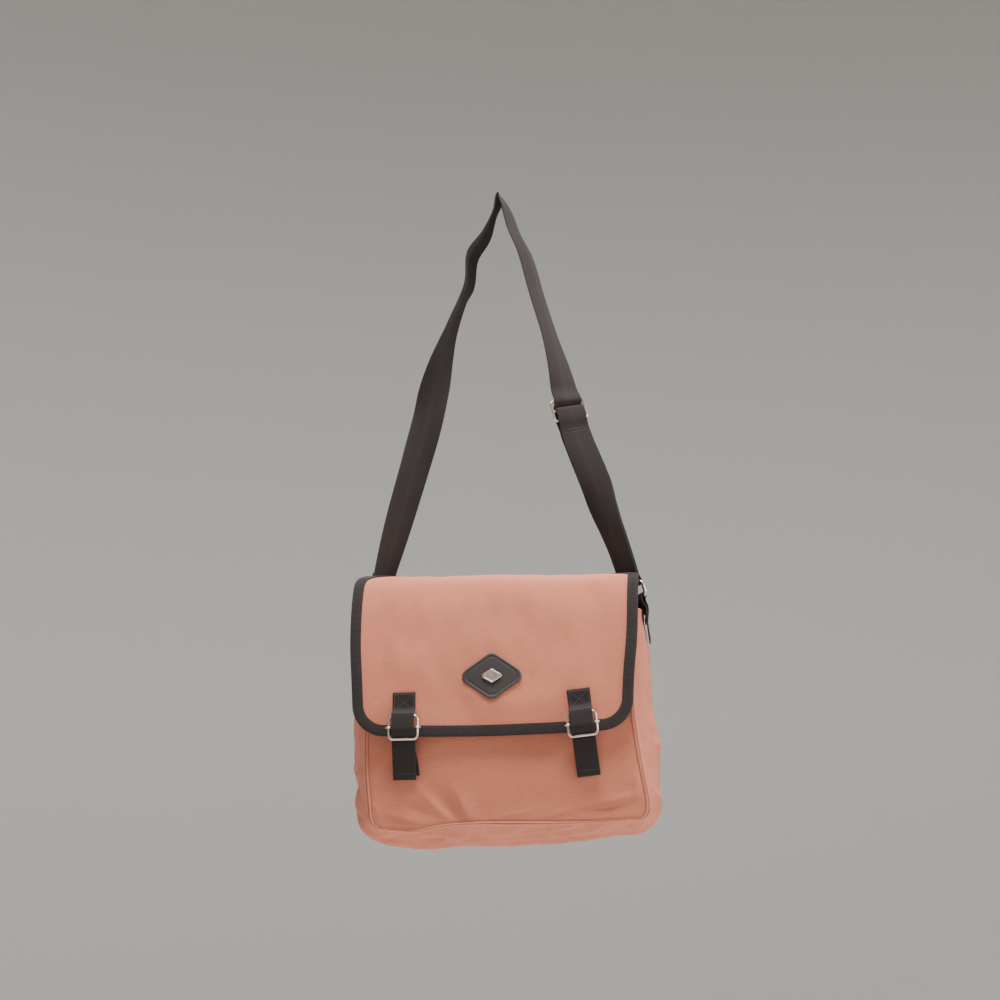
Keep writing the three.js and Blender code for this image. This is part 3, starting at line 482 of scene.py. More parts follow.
def resample(lengths: Array, values: Array, places: Array) -> Array:
    """Values of a path's columns at new places along it."""
    flat = values.reshape(len(values), -1)
    picked = [np.interp(places, lengths, flat[:, k]) for k in range(flat.shape[1])]
    return np.stack(picked, axis=-1).reshape(len(places), *values.shape[1:])


def to_object(
    name: str, points: Array, quads: Array, uv: Array, wear_and_shade: Array | None = None
) -> Piece:
    """Makes a closed object of quads, with doubles merged and its faces turned outwards.

    Args:
        name: the piece's name.
        points: the corners, one row each.
        quads: four corner numbers a row.
        uv: place of each corner on the cloth, in metres.
        wear_and_shade: how rubbed each corner is, from 0 to 1, and below zero how deep its painted seam shade is.

    Returns:
        The object, linked to the scene.
    """
    a, b, c, d = (points[quads[:, k]] for k in range(4))
    volume = np.sum(a * np.cross(b, c)) + np.sum(a * np.cross(c, d))
    if volume < 0:
        quads = quads[:, ::-1]
    quads = np.ascontiguousarray(quads)
    mesh = bpy.data.meshes.new(name)
    mesh.vertices.add(len(points))
    mesh.vertices.foreach_set("co", points.astype(np.float32).ravel())
    mesh.loops.add(quads.size)
    mesh.loops.foreach_set("vertex_index", quads.astype(np.int32).ravel())
    mesh.polygons.add(len(quads))
    mesh.polygons.foreach_set("loop_start", np.arange(0, quads.size, 4, dtype=np.int32))
    mesh.update(calc_edges=True)
    layer = mesh.uv_layers.new(name="cloth")
    layer.data.foreach_set("uv", uv[quads.ravel()].astype(np.float32).ravel())
    rubbed = mesh.attributes.new("wear_and_shade", "FLOAT", "POINT")
    values = np.zeros(len(points)) if wear_and_shade is None else wear_and_shade
    rubbed.data.foreach_set("value", values.astype(np.float32).ravel())
    work = bmesh.new()
    work.from_mesh(mesh)
    bmesh.ops.remove_doubles(work, verts=work.verts, dist=2e-7)
    bmesh.ops.dissolve_degenerate(work, edges=work.edges, dist=1e-8)
    work.to_mesh(mesh)
    work.free()
    mesh.polygons.foreach_set("use_smooth", np.ones(len(mesh.polygons), dtype=bool))
    mesh.update()
    made = bpy.data.objects.new(name, mesh)
    bpy.context.scene.collection.objects.link(made)
    return made


def ring_quads(rings: int, sides: int, closed: bool = False) -> Array:
    """Faces between rings laid one after another: four corner numbers a row."""
    here = np.arange(rings * sides).reshape(rings, sides)
    beside = np.roll(here, -1, axis=1)
    quads = laid(here, beside, np.roll(beside, -1, axis=0), np.roll(here, -1, axis=0))
    return (quads if closed else quads[:-1]).reshape(-1, 4)


def skin(
    name: str, rings: Array, uv: Array, closed: bool = False, wear_and_shade: Array | None = None
) -> Piece:
    """Makes a closed object from rings of points laid one after another.

    Args:
        name: the piece's name.
        rings: points by ring and place round the ring.
        uv: place on the cloth of each of them, in metres.
        closed: whether the last ring joins the first.
        wear_and_shade: how rubbed each of them is, and below zero their painted seam shade.

    Returns:
        The object.
    """
    quads = ring_quads(*rings.shape[:2], closed)
    rubbed = None if wear_and_shade is None else wear_and_shade.reshape(-1)
    return to_object(name, rings.reshape(-1, 3), quads, uv.reshape(-1, 2), rubbed)


def wall(
    name: str, points: Array, normals: Array, thick: float, uv: Array, wear_and_shade: Array | None = None
) -> Piece:
    """Makes a cloth wall of even thickness round a grid, with half-round rims.

    Each row becomes a ring: its front half the grid moved out along the normals, its back
    half the grid moved in, and a middle point beyond each end.

    Args:
        name: the piece's name.
        points: the wall's middle surface, by row and column.
        normals: its normals.
        thick: the wall's thickness.
        uv: place on the cloth.
        wear_and_shade: how rubbed the cloth is, and below zero its painted seam shade.

    Returns:
        The object.
    """
    half = thick / 2
    rubbed = np.zeros(points.shape[:2]) if wear_and_shade is None else wear_and_shade
    over = half * 0.9

    def ring(middle: Array, lift: float) -> Array:
        """Front row, right rim, back row backwards, left rim."""
        right = middle[:, -1:] + over * unit(points[:, -1:] - points[:, -2:-1]) * (lift > 0)
        left = middle[:, :1] + over * unit(points[:, :1] - points[:, 1:2]) * (lift > 0)
        front, back = middle + normals * lift, (middle - normals * lift)[:, ::-1]
        return np.concatenate([front, right, back, left], axis=1)

    body = ring(points, half)
    first = points[:1] + over * unit(points[:1] - points[1:2])
    last = points[-1:] + over * unit(points[-1:] - points[-2:-1])
    caps = [np.concatenate([row, row[:, -1:], row[:, ::-1], row[:, :1]], axis=1) for row in (first, last)]
    rings = np.concatenate([caps[0], body, caps[1]])

    def wrapped(values: Array) -> Array:
        """Values of the grid laid round the rings, with the caps' rows doubled."""
        ends = (values[:, -1:], values[:, ::-1], values[:, :1])
        round_values = np.concatenate([values, *ends], axis=1)
        return np.concatenate([round_values[:1], round_values, round_values[-1:]])

    return skin(name, rings, wrapped(uv), wear_and_shade=wrapped(rubbed))


def stitches(
    name: str,
    rows: list[tuple[Array, Array]],
    pitch: float = 0.0032,
    thread: float = 0.00062,
    fill: float = 0.74,
) -> Piece:
    """Makes rows of stitches, each a short plump thread that dips at its ends.

    A stitch is a six-sided tube along its row: its radius follows the square root of a sine
    over its length, and its middle rises by a sine.

    Args:
        name: the piece's name.
        rows: for each row, its points on the cloth's face and the normals there.
        pitch: length from stitch to stitch.
        thread: the thread's thickness.
        fill: share of the pitch that a stitch covers.

    Returns:
        The object, all rows in one mesh.
    """
    rings, sides = 6, 6
    along = np.linspace(0, 1, rings)
    plump = np.sqrt(np.clip(np.sin(math.pi * along), 0.0, 1)) * thread / 2
    angle = np.arange(sides) / sides * 2 * math.pi
    centres, runs, ups = [], [], []
    for points, normals in rows:
        lengths = path_lengths(points)
        count = max(2, int(lengths[-1] / pitch))
        places = (np.arange(count) + 0.5) / count * lengths[-1]
        reach = pitch * fill / 2
        start, end = resample(lengths, points, places - reach), resample(lengths, points, places + reach)
        centres.append((start + end) / 2)
        runs.append(end - start)
        ups.append(unit(resample(lengths, normals, places)))
    centre, run, up = (np.concatenate(part) for part in (centres, runs, ups))
    side = unit(np.cross(run, up))
    middle = centre[:, None] + run[:, None] * (along - 0.5)[None, :, None]
    middle = middle + up[:, None] * (np.sin(math.pi * along) * thread * 0.42)[None, :, None]
    spoke = (
        side[:, None, None] * np.cos(angle)[None, None, :, None]
        + up[:, None, None] * np.sin(angle)[None, None, :, None]
    )
    points = middle[:, :, None] + spoke * plump[None, :, None, None]
    first = np.arange(len(centre))[:, None, None] * rings * sides
    quads = first + ring_quads(rings, sides)
    flat = points.reshape(-1, 3)
    return to_object(name, flat, quads.reshape(-1, 4), flat[:, [0, 2]])


@dataclass
class Stations:
    """Places of a band: its middle, run, width direction, face direction and fold angle."""

    at: Array
    run: Array
    wide: Array
    face: Array
    fold: Array

    def beside(self, offset: float) -> "Stations":
        """The same places moved along their faces."""
        return Stations(self.at + self.face * offset, self.run, self.wide, self.face, self.fold)

    def turned(self) -> "Stations":
        """The same places facing the other way."""
        return Stations(self.at, self.run, self.wide, -self.face, self.fold)

    def wrap(self, radius: float, start: float, stop: float, steps: int) -> "Stations":
        """Turns round a bar through one place.

        Args:
            radius: distance of the band's middle from the bar's.
            start: first angle in degrees, from the face towards the run.
            stop: last angle.
            steps: spans of the turn.

        Returns:
            The places round the bar.
        """
        angle = np.radians(np.linspace(start, stop, steps + 1))[:, None]
        out = self.face * np.cos(angle) + self.run * np.sin(angle)
        wide = np.repeat(self.wide, steps + 1, axis=0)
        flat = np.zeros(steps + 1)
        return Stations(self.at + out * radius, np.zeros_like(out), wide, out, flat)

    @staticmethod
    def join(parts: list["Stations"]) -> "Stations":
        """Lays several runs of places end to end."""
        names = ("at", "run", "wide", "face", "fold")
        return Stations(*(np.concatenate([getattr(part, name) for part in parts]) for name in names))

    def facing(self) -> "Stations":
        """The same places, each face worked out from the run across the width."""
        ahead = np.vstack([self.at[1:], self.at[-1:]])
        behind = np.vstack([self.at[:1], self.at[:-1]])
        run = unit(ahead - behind)
        return Stations(self.at, run, self.wide, unit(np.cross(run, self.wide)), self.fold)

    def refined(self, factor: int) -> "Stations":
        """The same band with more places, its middle on a smooth curve through them.

        Args:
            factor: new spans for each old one.

        Returns:
            The denser places, with their faces worked out again.
        """
        count = len(self.at)
        orders = np.linspace(0, 1, factor * (count - 1) + 1)
        old = np.linspace(0, 1, count)
        wide = unit(resample(old, self.wide, orders))
        at = Curve(self.at, divisions=10).point(orders)
        return Stations(at, wide, wide, wide, np.interp(orders, old, self.fold)).facing()

    def place(self, lengths: Array, across: Array, lift: float) -> tuple[Array, Array]:
        """Points and normals on the band's face.

        Args:
            lengths: places along the band from its start.
            across: places across it from its middle.
            lift: height above the band's middle.

        Returns:
            The points and the normals.
        """
        measured = path_lengths(self.at)
        at, wide, face = (resample(measured, part, lengths) for part in (self.at, self.wide, self.face))
        return at + wide * across[:, None] + face * lift, face


@dataclass
class Webbing:
    """A flat woven band with round selvedges and a faint rib along its middle."""

    width: float
    thick: float = GAUGE.webbing
    rib: float = 0.0
    hem: float = 0.0
    edge_steps: int = 5
    face_steps: int = 14

    def outline(self) -> tuple[Array, Array]:
        """Section as places across and lifts: half circles at the edges, flat between."""
        half, radius = self.width / 2, self.thick / 2
        flat = np.linspace(-half + radius, half - radius, self.face_steps)
        turn = np.linspace(math.pi / 2, -math.pi / 2, self.edge_steps + 2)[1:-1]
        edge_x, edge_y = half - radius + radius * np.cos(turn), radius * np.sin(turn)
        across = np.concatenate([flat, edge_x, flat[::-1], -edge_x[::-1]])
        lift = np.concatenate([np.full(flat.shape, radius), edge_y, np.full(flat.shape, -radius), edge_y[::-1]])
        return across, lift

    def build(self, name: str, stations: Stations) -> Piece:
        """Carries the section along the stations.

        A place across the band goes to its cosine part along the width and its sine part,
        softened at the middle, along the face, so a folded band has a soft V section. The
        rib adds a bell round the middle, and a hem doubles the thickness near the end.

        Args:
            name: the piece's name.
            stations: places of the band.

        Returns:
            The object.
        """
        across, lift = self.outline()
        soft = self.width * 0.06
        bent = np.sqrt(across**2 + soft**2) - soft
        slope = across / np.sqrt(across**2 + soft**2)
        fold = stations.fold[:, None]
        lengths = path_lengths(stations.at)
        left = lengths[-1] - lengths
        double = smoothstep(-left, -self.hem - 0.0006, -self.hem + 0.0006) if self.hem else left * 0
        thicker = lift[None] * (1 + 0.7 * double[:, None])
        ribbed = thicker + np.sign(lift)[None] * self.rib * hill(across, 0.0, 0.0032)[None]
        x = across[None] * np.cos(fold) - slope[None] * np.sin(fold) * ribbed
        y = bent[None] * np.sin(fold) + np.cos(fold) * ribbed
        rings = stations.at[:, None] + stations.wide[:, None] * x[..., None]
        rings = rings + stations.face[:, None] * y[..., None]
        steps, edge = self.face_steps, self.edge_steps
        turned = np.concatenate([
            np.arange(steps)[::-1] + steps + edge, np.arange(edge)[::-1] + steps,
            np.arange(steps)[::-1], np.arange(edge)[::-1] + 2 * steps + edge,
        ])
        ends = [(ring + ring[turned]) / 2 for ring in (rings[0], rings[-1])]
        rings = np.concatenate([ends[:1], rings, ends[1:]])
        along = np.concatenate([lengths[:1], lengths, lengths[-1:]])
        uv = laid(across[None], along[:, None])
        rubbed = hill(np.abs(across), self.width / 2, 0.0012)
        return skin(name, rings, uv, wear_and_shade=np.broadcast_to(rubbed, rings.shape[:2]))


@dataclass
class Wire:
    """A round metal wire, bent to a path that lies in one plane."""

    gauge: float
    sides: int = 18

    def build(self, name: str, path: Array, across: Array, closed: bool) -> Piece:
        """Carries a circle along the path.

        Args:
            name: the piece's name.
            path: the wire's middle.
            across: direction square to the path's plane.
            closed: whether the path is a loop; an open wire gets domed ends.

        Returns:
            The object.
        """
        if closed:
            run = unit(np.roll(path, -1, axis=0) - np.roll(path, 1, axis=0))
        else:
            run = unit(np.gradient(path, axis=0))
        across = unit(across)
        side = unit(np.cross(run, across))
        angle = np.arange(self.sides) / self.sides * 2 * math.pi
        radius = self.gauge / 2
        spoke = side[:, None] * np.cos(angle)[None, :, None] + across * np.sin(angle)[None, :, None]
        rings = path[:, None] + spoke * radius
        if not closed:
            dome = np.linspace(0, math.pi / 2, 6)
            start = path[0] - run[0] * (radius * np.sin(dome))[:, None]
            end = path[-1] + run[-1] * (radius * np.sin(dome))[:, None]
            first = start[::-1][:, None] + spoke[:1] * (radius * np.cos(dome))[::-1][:, None, None]
            last = end[:, None] + spoke[-1:] * (radius * np.cos(dome))[:, None, None]
            rings = np.concatenate([first, rings[1:-1], last])
        uv = np.stack(np.broadcast_arrays(
            (angle * radius)[None], np.arange(len(rings))[:, None] * radius
        ), axis=-1)
        return skin(name, rings, uv, closed=closed)


def rounded_loop(
    centre: Array, wide: Array, tall: Array, width: float, height: float, radius: float
) -> Array:
    """Middle line of a rounded rectangle: four straight sides and four quarter circles.

    Args:
        centre: its middle.
        wide: its width direction.
        tall: its height direction.
        width: its width.
        height: its height.
        radius: radius of its corners.

    Returns:
        The points round it.
    """
    corner_steps, side_steps = 9, 8
    points = []
    for corner, (sign_x, sign_y) in enumerate(((1, 1), (-1, 1), (-1, -1), (1, -1))):
        angle = (corner + np.linspace(0, 1, corner_steps)) * math.pi / 2
        x = sign_x * (width / 2 - radius) + radius * np.cos(angle)
        y = sign_y * (height / 2 - radius) + radius * np.sin(angle)
        points.append(laid(x, y))
    sides = []
    for corner in range(4):
        start, end = points[corner][-1], points[(corner + 1) % 4][0]
        between = np.linspace(0, 1, side_steps + 1)[1:-1, None]
        sides += [points[corner], mix(start, end, between)]
    flat = np.concatenate(sides)
    return centre + wide * flat[:, :1] + tall * flat[:, 1:]


class Graph:
    """Adds nodes and links to one node tree."""

    def __init__(self, tree: bpy.types.NodeTree) -> None:
        """Keeps the tree."""
        self.tree = tree

    def feed(self, node: bpy.types.Node, inputs: dict) -> bpy.types.Node:
        """Fills a node's sockets.

        Args:
            node: the node.
            inputs: socket name or number to a value or to the socket that feeds it.

        Returns:
            The node.
        """
        for name, value in inputs.items():
            if isinstance(value, Socket):
                self.tree.links.new(value, node.inputs[name])
            else:
                node.inputs[name].default_value = value
        return node

    def add(self, kind: str, inputs: dict | None = None, **settings: object) -> bpy.types.Node:
        """Adds one node.

        Args:
            kind: the node's type.
            inputs: what feed() takes.
            settings: the node's own properties.

        Returns:
            The node.
        """
        node = self.tree.nodes.new(kind)
        for name, value in settings.items():
            setattr(node, name, value)
        return self.feed(node, inputs or {})

    def math(self, operation: str, *values: object) -> Socket:
        """A Math node's result."""
        return self.add("ShaderNodeMath", dict(enumerate(values)), operation=operation).outputs[0]

    def times(self, value: object, factor: object, base: object = 0.0) -> Socket:
        """A value times a factor, plus a base."""
        return self.math("MULTIPLY_ADD", value, factor, base)

    def arches(self, value: object) -> Socket:
        """Half a sine over each whole step of a value."""
        return self.math("SINE", self.times(self.math("FRACT", value), math.pi))

    def scale(self, vector: object, factor: object) -> Socket:
        """A vector or colour times a number."""
        return self.add("ShaderNodeVectorMath", {0: vector, 3: factor}, operation="SCALE").outputs[0]

    def blend(self, factor: object, a: object, b: object, way: str = "MIX") -> Socket:
        """A colour Mix node's result."""
        return self.add("ShaderNodeMix", {0: factor, 6: a, 7: b}, data_type="RGBA", blend_type=way).outputs[2]

    def noise(self, vector: object, scale: float, detail: float, stretch: tuple | None = None) -> Socket:
        """A Noise texture's value, its vector first scaled by the stretch."""
        if stretch:
            vector = self.add("ShaderNodeMapping", {"Vector": vector, "Scale": stretch}).outputs["Vector"]
        return self.add("ShaderNodeTexNoise", {"Vector": vector, "Scale": scale, "Detail": detail}).outputs["Fac"]


def new_group(name: str, takes: dict[str, object], gives: dict[str, str]) -> tuple:
    """Starts a shader node group with named sockets.

    Args:
        name: the group's name.
        takes: input name to its usual value: a number, a colour, or None for a vector.
        gives: output name to its socket type.

    Returns:
        The group, a Graph of it, its inputs' sockets and its output node.
    """
    group = bpy.data.node_groups.new(name, "ShaderNodeTree")
    for label, usual in takes.items():
        kind = "Vector" if usual is None else "Float" if isinstance(usual, float) else "Color"
        socket = group.interface.new_socket(name=label, in_out="INPUT", socket_type=f"NodeSocket{kind}")
        if usual is not None:
            socket.default_value = usual
    for label, kind in gives.items():
        group.interface.new_socket(name=label, in_out="OUTPUT", socket_type=f"NodeSocket{kind}")
    graph = Graph(group)
    return group, graph, graph.add("NodeGroupInput").outputs, graph.add("NodeGroupOutput")


@cache
def weave_group() -> bpy.types.NodeTree:
    """Plain weave on the cloth's own map: threads that pass over and under in turn.

    A thread's height is a half sine across it, and a checker of whole threads picks which
    of the two runs on top.

    Returns:
        The node group.
    """
    takes = {"Cloth": None, "Threads": 1500.0}
    group, graph, given, sink = new_group("plain_weave", takes, {"Height": "Float"})
    scaled = graph.scale(given["Cloth"], given["Threads"])
    parts = graph.add("ShaderNodeSeparateXYZ", {0: scaled}).outputs
    cells = [graph.math("FLOOR", parts[axis]) for axis in (0, 1)]
    over = graph.times(graph.math("FRACT", graph.times(graph.math("ADD", *cells), 0.5)), 2.0)
    under = graph.times(graph.arches(parts[1]), graph.math("SUBTRACT", 1.0, over))
    graph.feed(sink, {"Height": graph.times(graph.arches(parts[0]), over, under)})
    return group


@cache
def rib_group() -> bpy.types.NodeTree:
    """Webbing: cords along the band crossed by fine picks, half a pick apart on each cord.

    Returns:
        The node group, which also gives the stripe along the band's middle, worn paler and with painted sheen.
    """
    takes = {"Cloth": None, "Cords": 900.0, "Picks": 1500.0}
    group, graph, given, sink = new_group("webbing_ribs", takes, {"Height": "Float", "Stripe": "Float"})
    parts = graph.add("ShaderNodeSeparateXYZ", {0: given["Cloth"]}).outputs
    cord = graph.times(parts[0], given["Cords"])
    shift = graph.math("FRACT", graph.times(graph.math("FLOOR", cord), 0.5))
    knot = graph.arches(graph.times(parts[1], given["Picks"], shift))
    middle = graph.math("DIVIDE", graph.math("ABSOLUTE", parts[0]), STRIPE_HALF)
    graph.feed(sink, {
        "Height": graph.times(graph.arches(cord), graph.times(knot, 0.6, 0.4)),
        "Stripe": graph.math("SUBTRACT", 1.0, graph.math("SMOOTH_MIN", middle, 1.0, 0.4)),
    })
    return group


@cache
def mottle_group() -> bpy.types.NodeTree:
    """Uneven dye and handling: a colour made lighter and darker by soft and fine noise.

    Returns:
        The node group.
    """
    takes = {"Place": None, "Color": (0.5, 0.5, 0.5, 1.0), "Broad": 0.08, "Fine": 0.06}
    group, graph, given, sink = new_group("mottle", takes, {"Color": "Color"})
    total = 1.0
    for scale, detail, amount in ((9.0, 4.0, "Broad"), (520.0, 2.0, "Fine")):
        centred = graph.math("SUBTRACT", graph.noise(given["Place"], scale, detail), 0.5)
        total = graph.times(centred, graph.times(given[amount], 2.0), total)
    graph.feed(sink, {"Color": graph.scale(given["Color"], total)})
    return group


class Coat(Graph):
    """A new material: where its textures are read, and what its shader is fed."""

    def __init__(self, name: str) -> None:
        """Starts the material."""
        self.material = bpy.data.materials.new(name)
        self.material.use_nodes = True
        super().__init__(self.material.node_tree)

    def place(self) -> Socket:
        """The place on the object."""
        return self.add("ShaderNodeTexCoord").outputs["Object"]

    def cloth(self) -> Socket:
        """The place on the flat cloth, in metres."""
        return self.add("ShaderNodeUVMap", uv_map="cloth").outputs["UV"]

    def wear_and_shade(self) -> Socket:
        """How rubbed the piece is, and below zero how deep in a seam, which sets the painted seam shade."""
        return self.add("ShaderNodeAttribute", attribute_name="wear_and_shade").outputs["Fac"]

    def group(self, group: bpy.types.NodeTree, inputs: dict) -> bpy.types.bpy_prop_collection:
        """The outputs of a shared node group."""
        return self.add("ShaderNodeGroup", inputs, node_tree=group).outputs

    def mottled(self, place: Socket, color: object, broad: float, fine: float) -> Socket:
        """A colour with the shared unevenness."""
        inputs = {"Place": place, "Color": color, "Broad": broad, "Fine": fine}
        return self.group(mottle_group(), inputs)["Color"]

    def finish(self, height: Socket, strength: float, depth: float, inputs: dict) -> bpy.types.Material:
        """Feeds the shader.

        Args:
            height: relief for the bump.
            strength: the bump's strength.
            depth: the bump's distance.
            inputs: the shader's other sockets.

        Returns:
            The material.
        """
        bump = self.add("ShaderNodeBump", {"Strength": strength, "Distance": depth, "Height": height})
        shader = self.tree.nodes["Principled BSDF"]
        self.feed(shader, {"Normal": bump.outputs["Normal"], **inputs})
        return self.material


def rgba(color: Color) -> tuple[float, float, float, float]:
    """A colour with full alpha."""
    return (*color, 1.0)


@dataclass(frozen=True)
class CanvasFinish:
    """Dyed cotton canvas in plain weave, paler where seams and folds are rubbed, with painted shade in the seam grooves
    and a painted highlight on the thread tops.
    """

    color: Color = (0.485, 0.158, 0.098)
    rubbed: Color = (0.74, 0.31, 0.235)
    # Colour of the painted shade in the seam grooves
    seam_shadow: Color = (0.17, 0.052, 0.040)
    # Factor of a lit copy of the colour: paler streaks of the cloth, and a painted highlight on the thread tops
    streak_and_highlight: Color = (1.35, 1.38, 1.40)
    threads: float = 1250.0
    roughness: float = 0.92
    sheen: float = 0.10

    def build(self, name: str = "canvas") -> bpy.types.Material:
        """Makes the material: weave as bump, mottled dye, rubbing and painted seam shade from the cloth's attribute,
        and a lit copy of the colour on streaks and thread tops.
        """
        coat = Coat(name)
        place, cloth, wear_and_shade = coat.place(), coat.cloth(), coat.wear_and_shade()
        weave = coat.group(weave_group(), {"Cloth": cloth, "Threads": self.threads})["Height"]
        fuzz = coat.noise(place, 260.0, 3.0)
        worn = coat.times(wear_and_shade, coat.times(fuzz, 0.9, 0.25))
        worn_unshaded = coat.blend(worn, rgba(self.color), rgba(self.rubbed))
        # Painted seam shade: where the attribute is below zero, in the seam grooves and along the topstitching, the
        # colour goes towards the shadow colour
        base = coat.blend(coat.times(wear_and_shade, -1.0), worn_unshaded, rgba(self.seam_shadow))
        # Paler streaks along the threads, which the cloth has, and a painted highlight on the weave's raised thread
        # tops: together they mix in the lit copy
        streaks = coat.noise(cloth, 700.0, 2.0, (0.10, 1.0, 1.0))
        pale = coat.times(streaks, 0.9, coat.times(weave, 0.25))
        shaded = coat.blend(coat.math("SUBTRACT", pale, 0.42), base,
                            coat.blend(1.0, base, rgba(self.streak_and_highlight), "MULTIPLY"))
        slub = coat.noise(cloth, 900.0, 2.0, (0.12, 1.0, 1.0))
        return coat.finish(coat.times(slub, 0.8, weave), 0.55, 0.00035, {
            "Base Color": coat.mottled(place, shaded, 0.07, 0.10),
            "Roughness": coat.times(fuzz, 0.10, self.roughness - 0.06),
            "Sheen Weight": self.sheen,
            "Sheen Roughness": 0.45,
            "Sheen Tint": (1.0, 0.86, 0.80, 1.0),
            "Specular IOR Level": 0.25,
        })


@dataclass(frozen=True)
class WebbingFinish:
    """Dark woven cotton webbing or tape, greyer where its ribs catch the light."""

    color: Color = (0.0150, 0.0108, 0.0104)
    ridge: Color = (0.040, 0.0315, 0.0315)
    cords: float = 780.0
    picks: float = 1500.0
    # Strength of the paler middle stripe, worn and with painted sheen
    stripe: float = 0.0
    roughness: float = 0.86

    def build(self, name: str) -> bpy.types.Material:
        """Makes the material: ribs and picks as bump and as a painted highlight on the rib tops, and a paler middle
        stripe, worn and with painted sheen.
        """
        coat = Coat(name)
        place = coat.place()
        ribs = coat.group(rib_group(), {"Cloth": coat.cloth(), "Cords": self.cords, "Picks": self.picks})
        lint = coat.noise(place, 180.0, 4.0)
        base = coat.blend(coat.times(ribs["Height"], 0.55), rgba(self.color), rgba(self.ridge))
        # Selvedges rubbed paler, and the middle stripe, worn and with painted sheen
        lit = coat.times(coat.wear_and_shade(), 0.5, coat.times(ribs["Stripe"], self.stripe))
        striped = coat.blend(coat.times(lit, lint), base, rgba(self.ridge))
        return coat.finish(ribs["Height"], 0.8, 0.0005, {
            "Base Color": coat.mottled(place, striped, 0.12, 0.22),
            "Roughness": coat.times(lint, 0.12, self.roughness - 0.06),
            "Sheen Weight": 0.05,
            "Sheen Roughness": 0.5,
            "Sheen Tint": (0.85, 0.80, 0.82, 1.0),
            "Specular IOR Level": 0.22,
        })


@dataclass(frozen=True)
class LeatherFinish:
    """Dark smooth leather with a fine pebble grain, browner where its edge is rubbed."""

    color: Color = (0.020, 0.0135, 0.013)
    rubbed: Color = (0.17, 0.095, 0.070)
    grain: float = 900.0
    roughness: float = 0.64

    def build(self, name: str = "leather") -> bpy.types.Material:
        """Makes the material: cell grain as bump, a worn brown edge."""
        coat = Coat(name)
        place = coat.place()
        cells = coat.add("ShaderNodeTexVoronoi", {"Vector": place, "Scale": self.grain}, feature="F1")
        patchy = coat.noise(place, 60.0, 4.0)
        worn = coat.times(coat.wear_and_shade(), coat.times(patchy, 1.1, 0.1))
        base = coat.blend(worn, rgba(self.color), rgba(self.rubbed))
        return coat.finish(cells.outputs["Distance"], 0.35, 0.0003, {
            "Base Color": coat.mottled(place, base, 0.15, 0.20),
            "Roughness": coat.times(patchy, 0.22, self.roughness - 0.08),
        })


@dataclass(frozen=True)
class MetalFinish:
    """Pale warm nickel, satin with faint brushing and duller spots."""

    color: Color = (0.66, 0.54, 0.48)
    dull: Color = (0.40, 0.31, 0.27)
    roughness: float = 0.30

    def build(self, name: str = "nickel") -> bpy.types.Material:
        """Makes the material: brushed streaks and dull spots in roughness and colour."""
        coat = Coat(name)
        place = coat.place()
        streaks = coat.noise(place, 700.0, 2.0, (1.0, 1.0, 9.0))
        spots = {"Value": coat.noise(place, 130.0, 4.0), "From Min": 0.48, "From Max": 0.72}
        dull = coat.add("ShaderNodeMapRange", spots).outputs["Result"]
        return coat.finish(streaks, 0.12, 0.0001, {
            "Base Color": coat.blend(coat.times(dull, 0.7), rgba(self.color), rgba(self.dull)),
            "Roughness": coat.times(dull, 0.18, coat.times(streaks, 0.22, self.roughness - 0.1)),
            "Metallic": 1.0,
        })


@dataclass(frozen=True)
class ThreadFinish:
    """Sewing thread: a plain colour with a twisted ply as fine bump."""

    color: Color

    def build(self, name: str) -> bpy.types.Material:
        """Makes the material: uneven colour and a fine twist."""
        coat = Coat(name)
        place = coat.place()
        return coat.finish(coat.noise(place, 2400.0, 1.0), 0.4, 0.0001, {
            "Base Color": coat.mottled(place, rgba(self.color), 0.10, 0.30),
            "Roughness": 0.75,
        })


class Finishes:
    """Every material of the bag, built once."""

    def __init__(self) -> None:
        """Builds the materials."""
        self.canvas = CanvasFinish().build()
        self.webbing = WebbingFinish().build("webbing")
        self.strap = WebbingFinish(stripe=0.6).build("strap_webbing")
        self.tape = WebbingFinish(cords=1100.0, picks=1100.0).build("tape")
        self.leather = LeatherFinish().build()
        self.metal = MetalFinish().build()
        # Thread in a darker tone of the canvas: partly its own colour, partly painted shade along the stitch lines
        self.shaded_canvas_thread = ThreadFinish((0.27, 0.085, 0.058)).build("shaded_canvas_thread")
        self.dark_thread = ThreadFinish((0.085, 0.068, 0.068)).build("dark_thread")
        self.tape_thread = ThreadFinish((0.030, 0.023, 0.023)).build("tape_thread")


def dress(piece: Piece, finish: bpy.types.Material, slot: str, *nodes: str) -> Piece:
    """Gives a piece its material and says what it stands for.

    Args:
        piece: the piece.
        finish: its material.
        slot: the record's material slot; not used.
        nodes: the solids that it replaces.

    Returns:
        The piece.
    """
    piece.data.materials.clear()
    piece.data.materials.append(finish)
    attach(piece, BODY)
    if nodes:
        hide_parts(*nodes)
    log.info("%s: %d faces for %s", piece.name, len(piece.data.polygons), ", ".join(nodes) or "detail")
    return piece


def dense_at_ends(count: int, end_share: float, end_count: int) -> Array:
    """Places from 0 to 1, even in the middle and closer together near both ends."""
    end = np.linspace(0, end_share, end_count, endpoint=False)
    middle = np.linspace(end_share, 1 - end_share, count)
    return np.concatenate([end, middle, 1 - end[::-1]])


